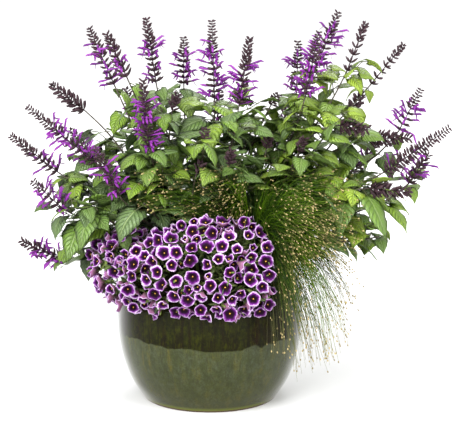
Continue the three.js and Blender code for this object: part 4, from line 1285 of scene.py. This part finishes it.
draw = draw_from(2024)
curves = [curve for curve in needles if not before_bells(bezier(curve, np.linspace(0, 1, 30)))]
shades = [0.6] * len(curves)
while len(curves) < ALL_BLADES:
    lobe = LEFT_LOBE if draw() < LEFT_SHARE else RIGHT_LOBE
    azimuth = draw(*lobe.azimuths)
    front = lobe.forward * max(0, cos(radians(azimuth + 40)))
    fall = GRASS_FALL * draw() ** 1.5 * front**1.1
    reach = within(60, GRASS_REACH[1] + 20, draw() ** (0.75 if azimuth < -50 else 1.1))
    reach *= 1 - 0.25 * fall / GRASS_FALL
    height = GRASS_TOP - fall - lobe.uneven * draw()
    lift = draw(*lobe.lift)
    slack = draw(0.1, 0.55)
    shade = draw()
    for _ in range(CLUMP.blades):
        tip = needle_tip(
            azimuth + draw(-CLUMP.azimuth, CLUMP.azimuth), reach + draw(-CLUMP.reach, CLUMP.reach),
            height + draw(-CLUMP.down, CLUMP.up),
        )
        curve = needle_curve(tip, lift + draw(-CLUMP.lift, CLUMP.lift))
        curve[2, :2] = within(curve[3, :2], curve[0, :2], slack)
        points = bezier(curve, np.linspace(0, 1, 30))
        lowest = 90 + 0.65 * max(0, tip[0] - 200) + (40 if tip[0] < 145 else 0)
        inside = tip[1] > FRONT_EDGE and tip[2] > lowest and tip[0] < draw(255, 345)
        if inside and clears_pot(points) and not before_bells(points):
            curves.append(curve)
            shades.append(clamped(shade + draw(-0.2, 0.2)))
blades, seeds = [], []
for curve in curves:
    line = bezier(curve, np.linspace(0, 1, 9))
    line[3:] += [[draw(-3.2, 3.2) for _ in range(3)] for _ in range(6)]
    blades.append(along_line(BLADE_ROD, line, np.linspace(0.85, 0.24, 9)))
    along = unit(line[-1] - line[-2])
    if draw() < 0.70:
        add_seed(line[-1], along, (-4.4, -3.2, -1.3, 0), [0.4, 1.15, 1.25, 0.3])
    if draw() < 0.28:
        side = 1.6 * unit(np.array([draw() - 0.5, draw() - 0.5, 0.1]))
        end = within(line[7], line[8], draw() * 0.5)
        add_seed(end + side, along, (0, 1.0, 2.8, 4.0), [0.4, 1.1, 1.1, 0.3])
crown = [(*GRASS_CROWN, SOIL_TOP + rise) for rise in (-20, -5, 5, 15, 30, 45)]
crown = along_line(SHOOT_ROD, crown, [7, 7.5, 8, 7, 5, 3])
no_form = np.zeros((len(SHOOT_ROD[0]), 3))
mesh = mesh_of_copies((BLADE_ROD, blades, shades), (SHOOT_ROD, [crown], 0.0, no_form))
set_piece("grass_blades", mesh, grass_skin, "grass", "fountain_grass")
mesh = mesh_of_copies((SEED_ROD, seeds, [draw() for _ in seeds]))
set_piece("grass_seeds", mesh, seed_skin, "grass")


# Studio
# A plain pale floor and soft light from above and both sides, seen from a little above.
FLOOR_SIZE = 60
LOOK_AT = (0.0415, 0.0, 0.388)
DISTANCE = 4.5
LOOK_DOWN = radians(12.5)
FRAME_WIDTH = 460 * 0.002045
SENSOR = 36

floor_shape = bmesh.new()
bmesh.ops.create_grid(floor_shape, x_segments=4, y_segments=4, size=FLOOR_SIZE / 2)
ground = new_object("floor", mesh_from(floor_shape))
floor_skin, shader = new_material("pale_floor", 0.9, 0.1)
away = add(shader, "VectorMath", {0: place_on(shader)}, operation="LENGTH").outputs["Value"]
dress(shader, ramp(calc("DIVIDE", away, 4.0), (0.12, 0.73), (0.5, 0.95)))
ground.data.materials.append(floor_skin)

world = bpy.data.worlds.new("studio")
world.use_nodes = True
background = world.node_tree.nodes["Background"]
height = add(background, "TexCoord", {}).outputs["Generated"]
height = add(background, "SeparateXYZ", {0: height}).outputs["Z"]
link(ramp(height, (0.0, 0.14), (0.9, 1), (0.3, 0.50)), background, "Color")
background.inputs["Strength"].default_value = 1.32
bpy.context.scene.world = world
bpy.context.scene.view_settings.view_transform = "Standard"


def soft_light(name, place, power, size):
    light = bpy.data.lights.new(name, "AREA")
    light.energy = power
    light.size = size
    lamp = new_object(name, light)
    lamp.location = place
    away = np.array(LOOK_AT) - place
    lamp.rotation_euler = (
        atan2(hypot(away[0], away[1]), -away[2]), 0, atan2(away[1], away[0]) - pi / 2,
    )


soft_light("key", (-2.0, -2.8, 2.7), 250, 2.8)
soft_light("fill", (2.6, -2.4, 1.9), 125, 2.4)
soft_light("back", (0.6, 2.8, 2.8), 60, 2.0)

lens = bpy.data.cameras.new("camera")
lens.sensor_width = SENSOR
lens.lens = SENSOR * DISTANCE / FRAME_WIDTH
lens.clip_end = 100
camera = new_object("camera", lens)
camera.location = (
    LOOK_AT[0], LOOK_AT[1] - DISTANCE * cos(LOOK_DOWN), LOOK_AT[2] + DISTANCE * sin(LOOK_DOWN),
)
camera.rotation_euler = (pi / 2 - LOOK_DOWN, 0, 0)
bpy.context.scene.camera = camera
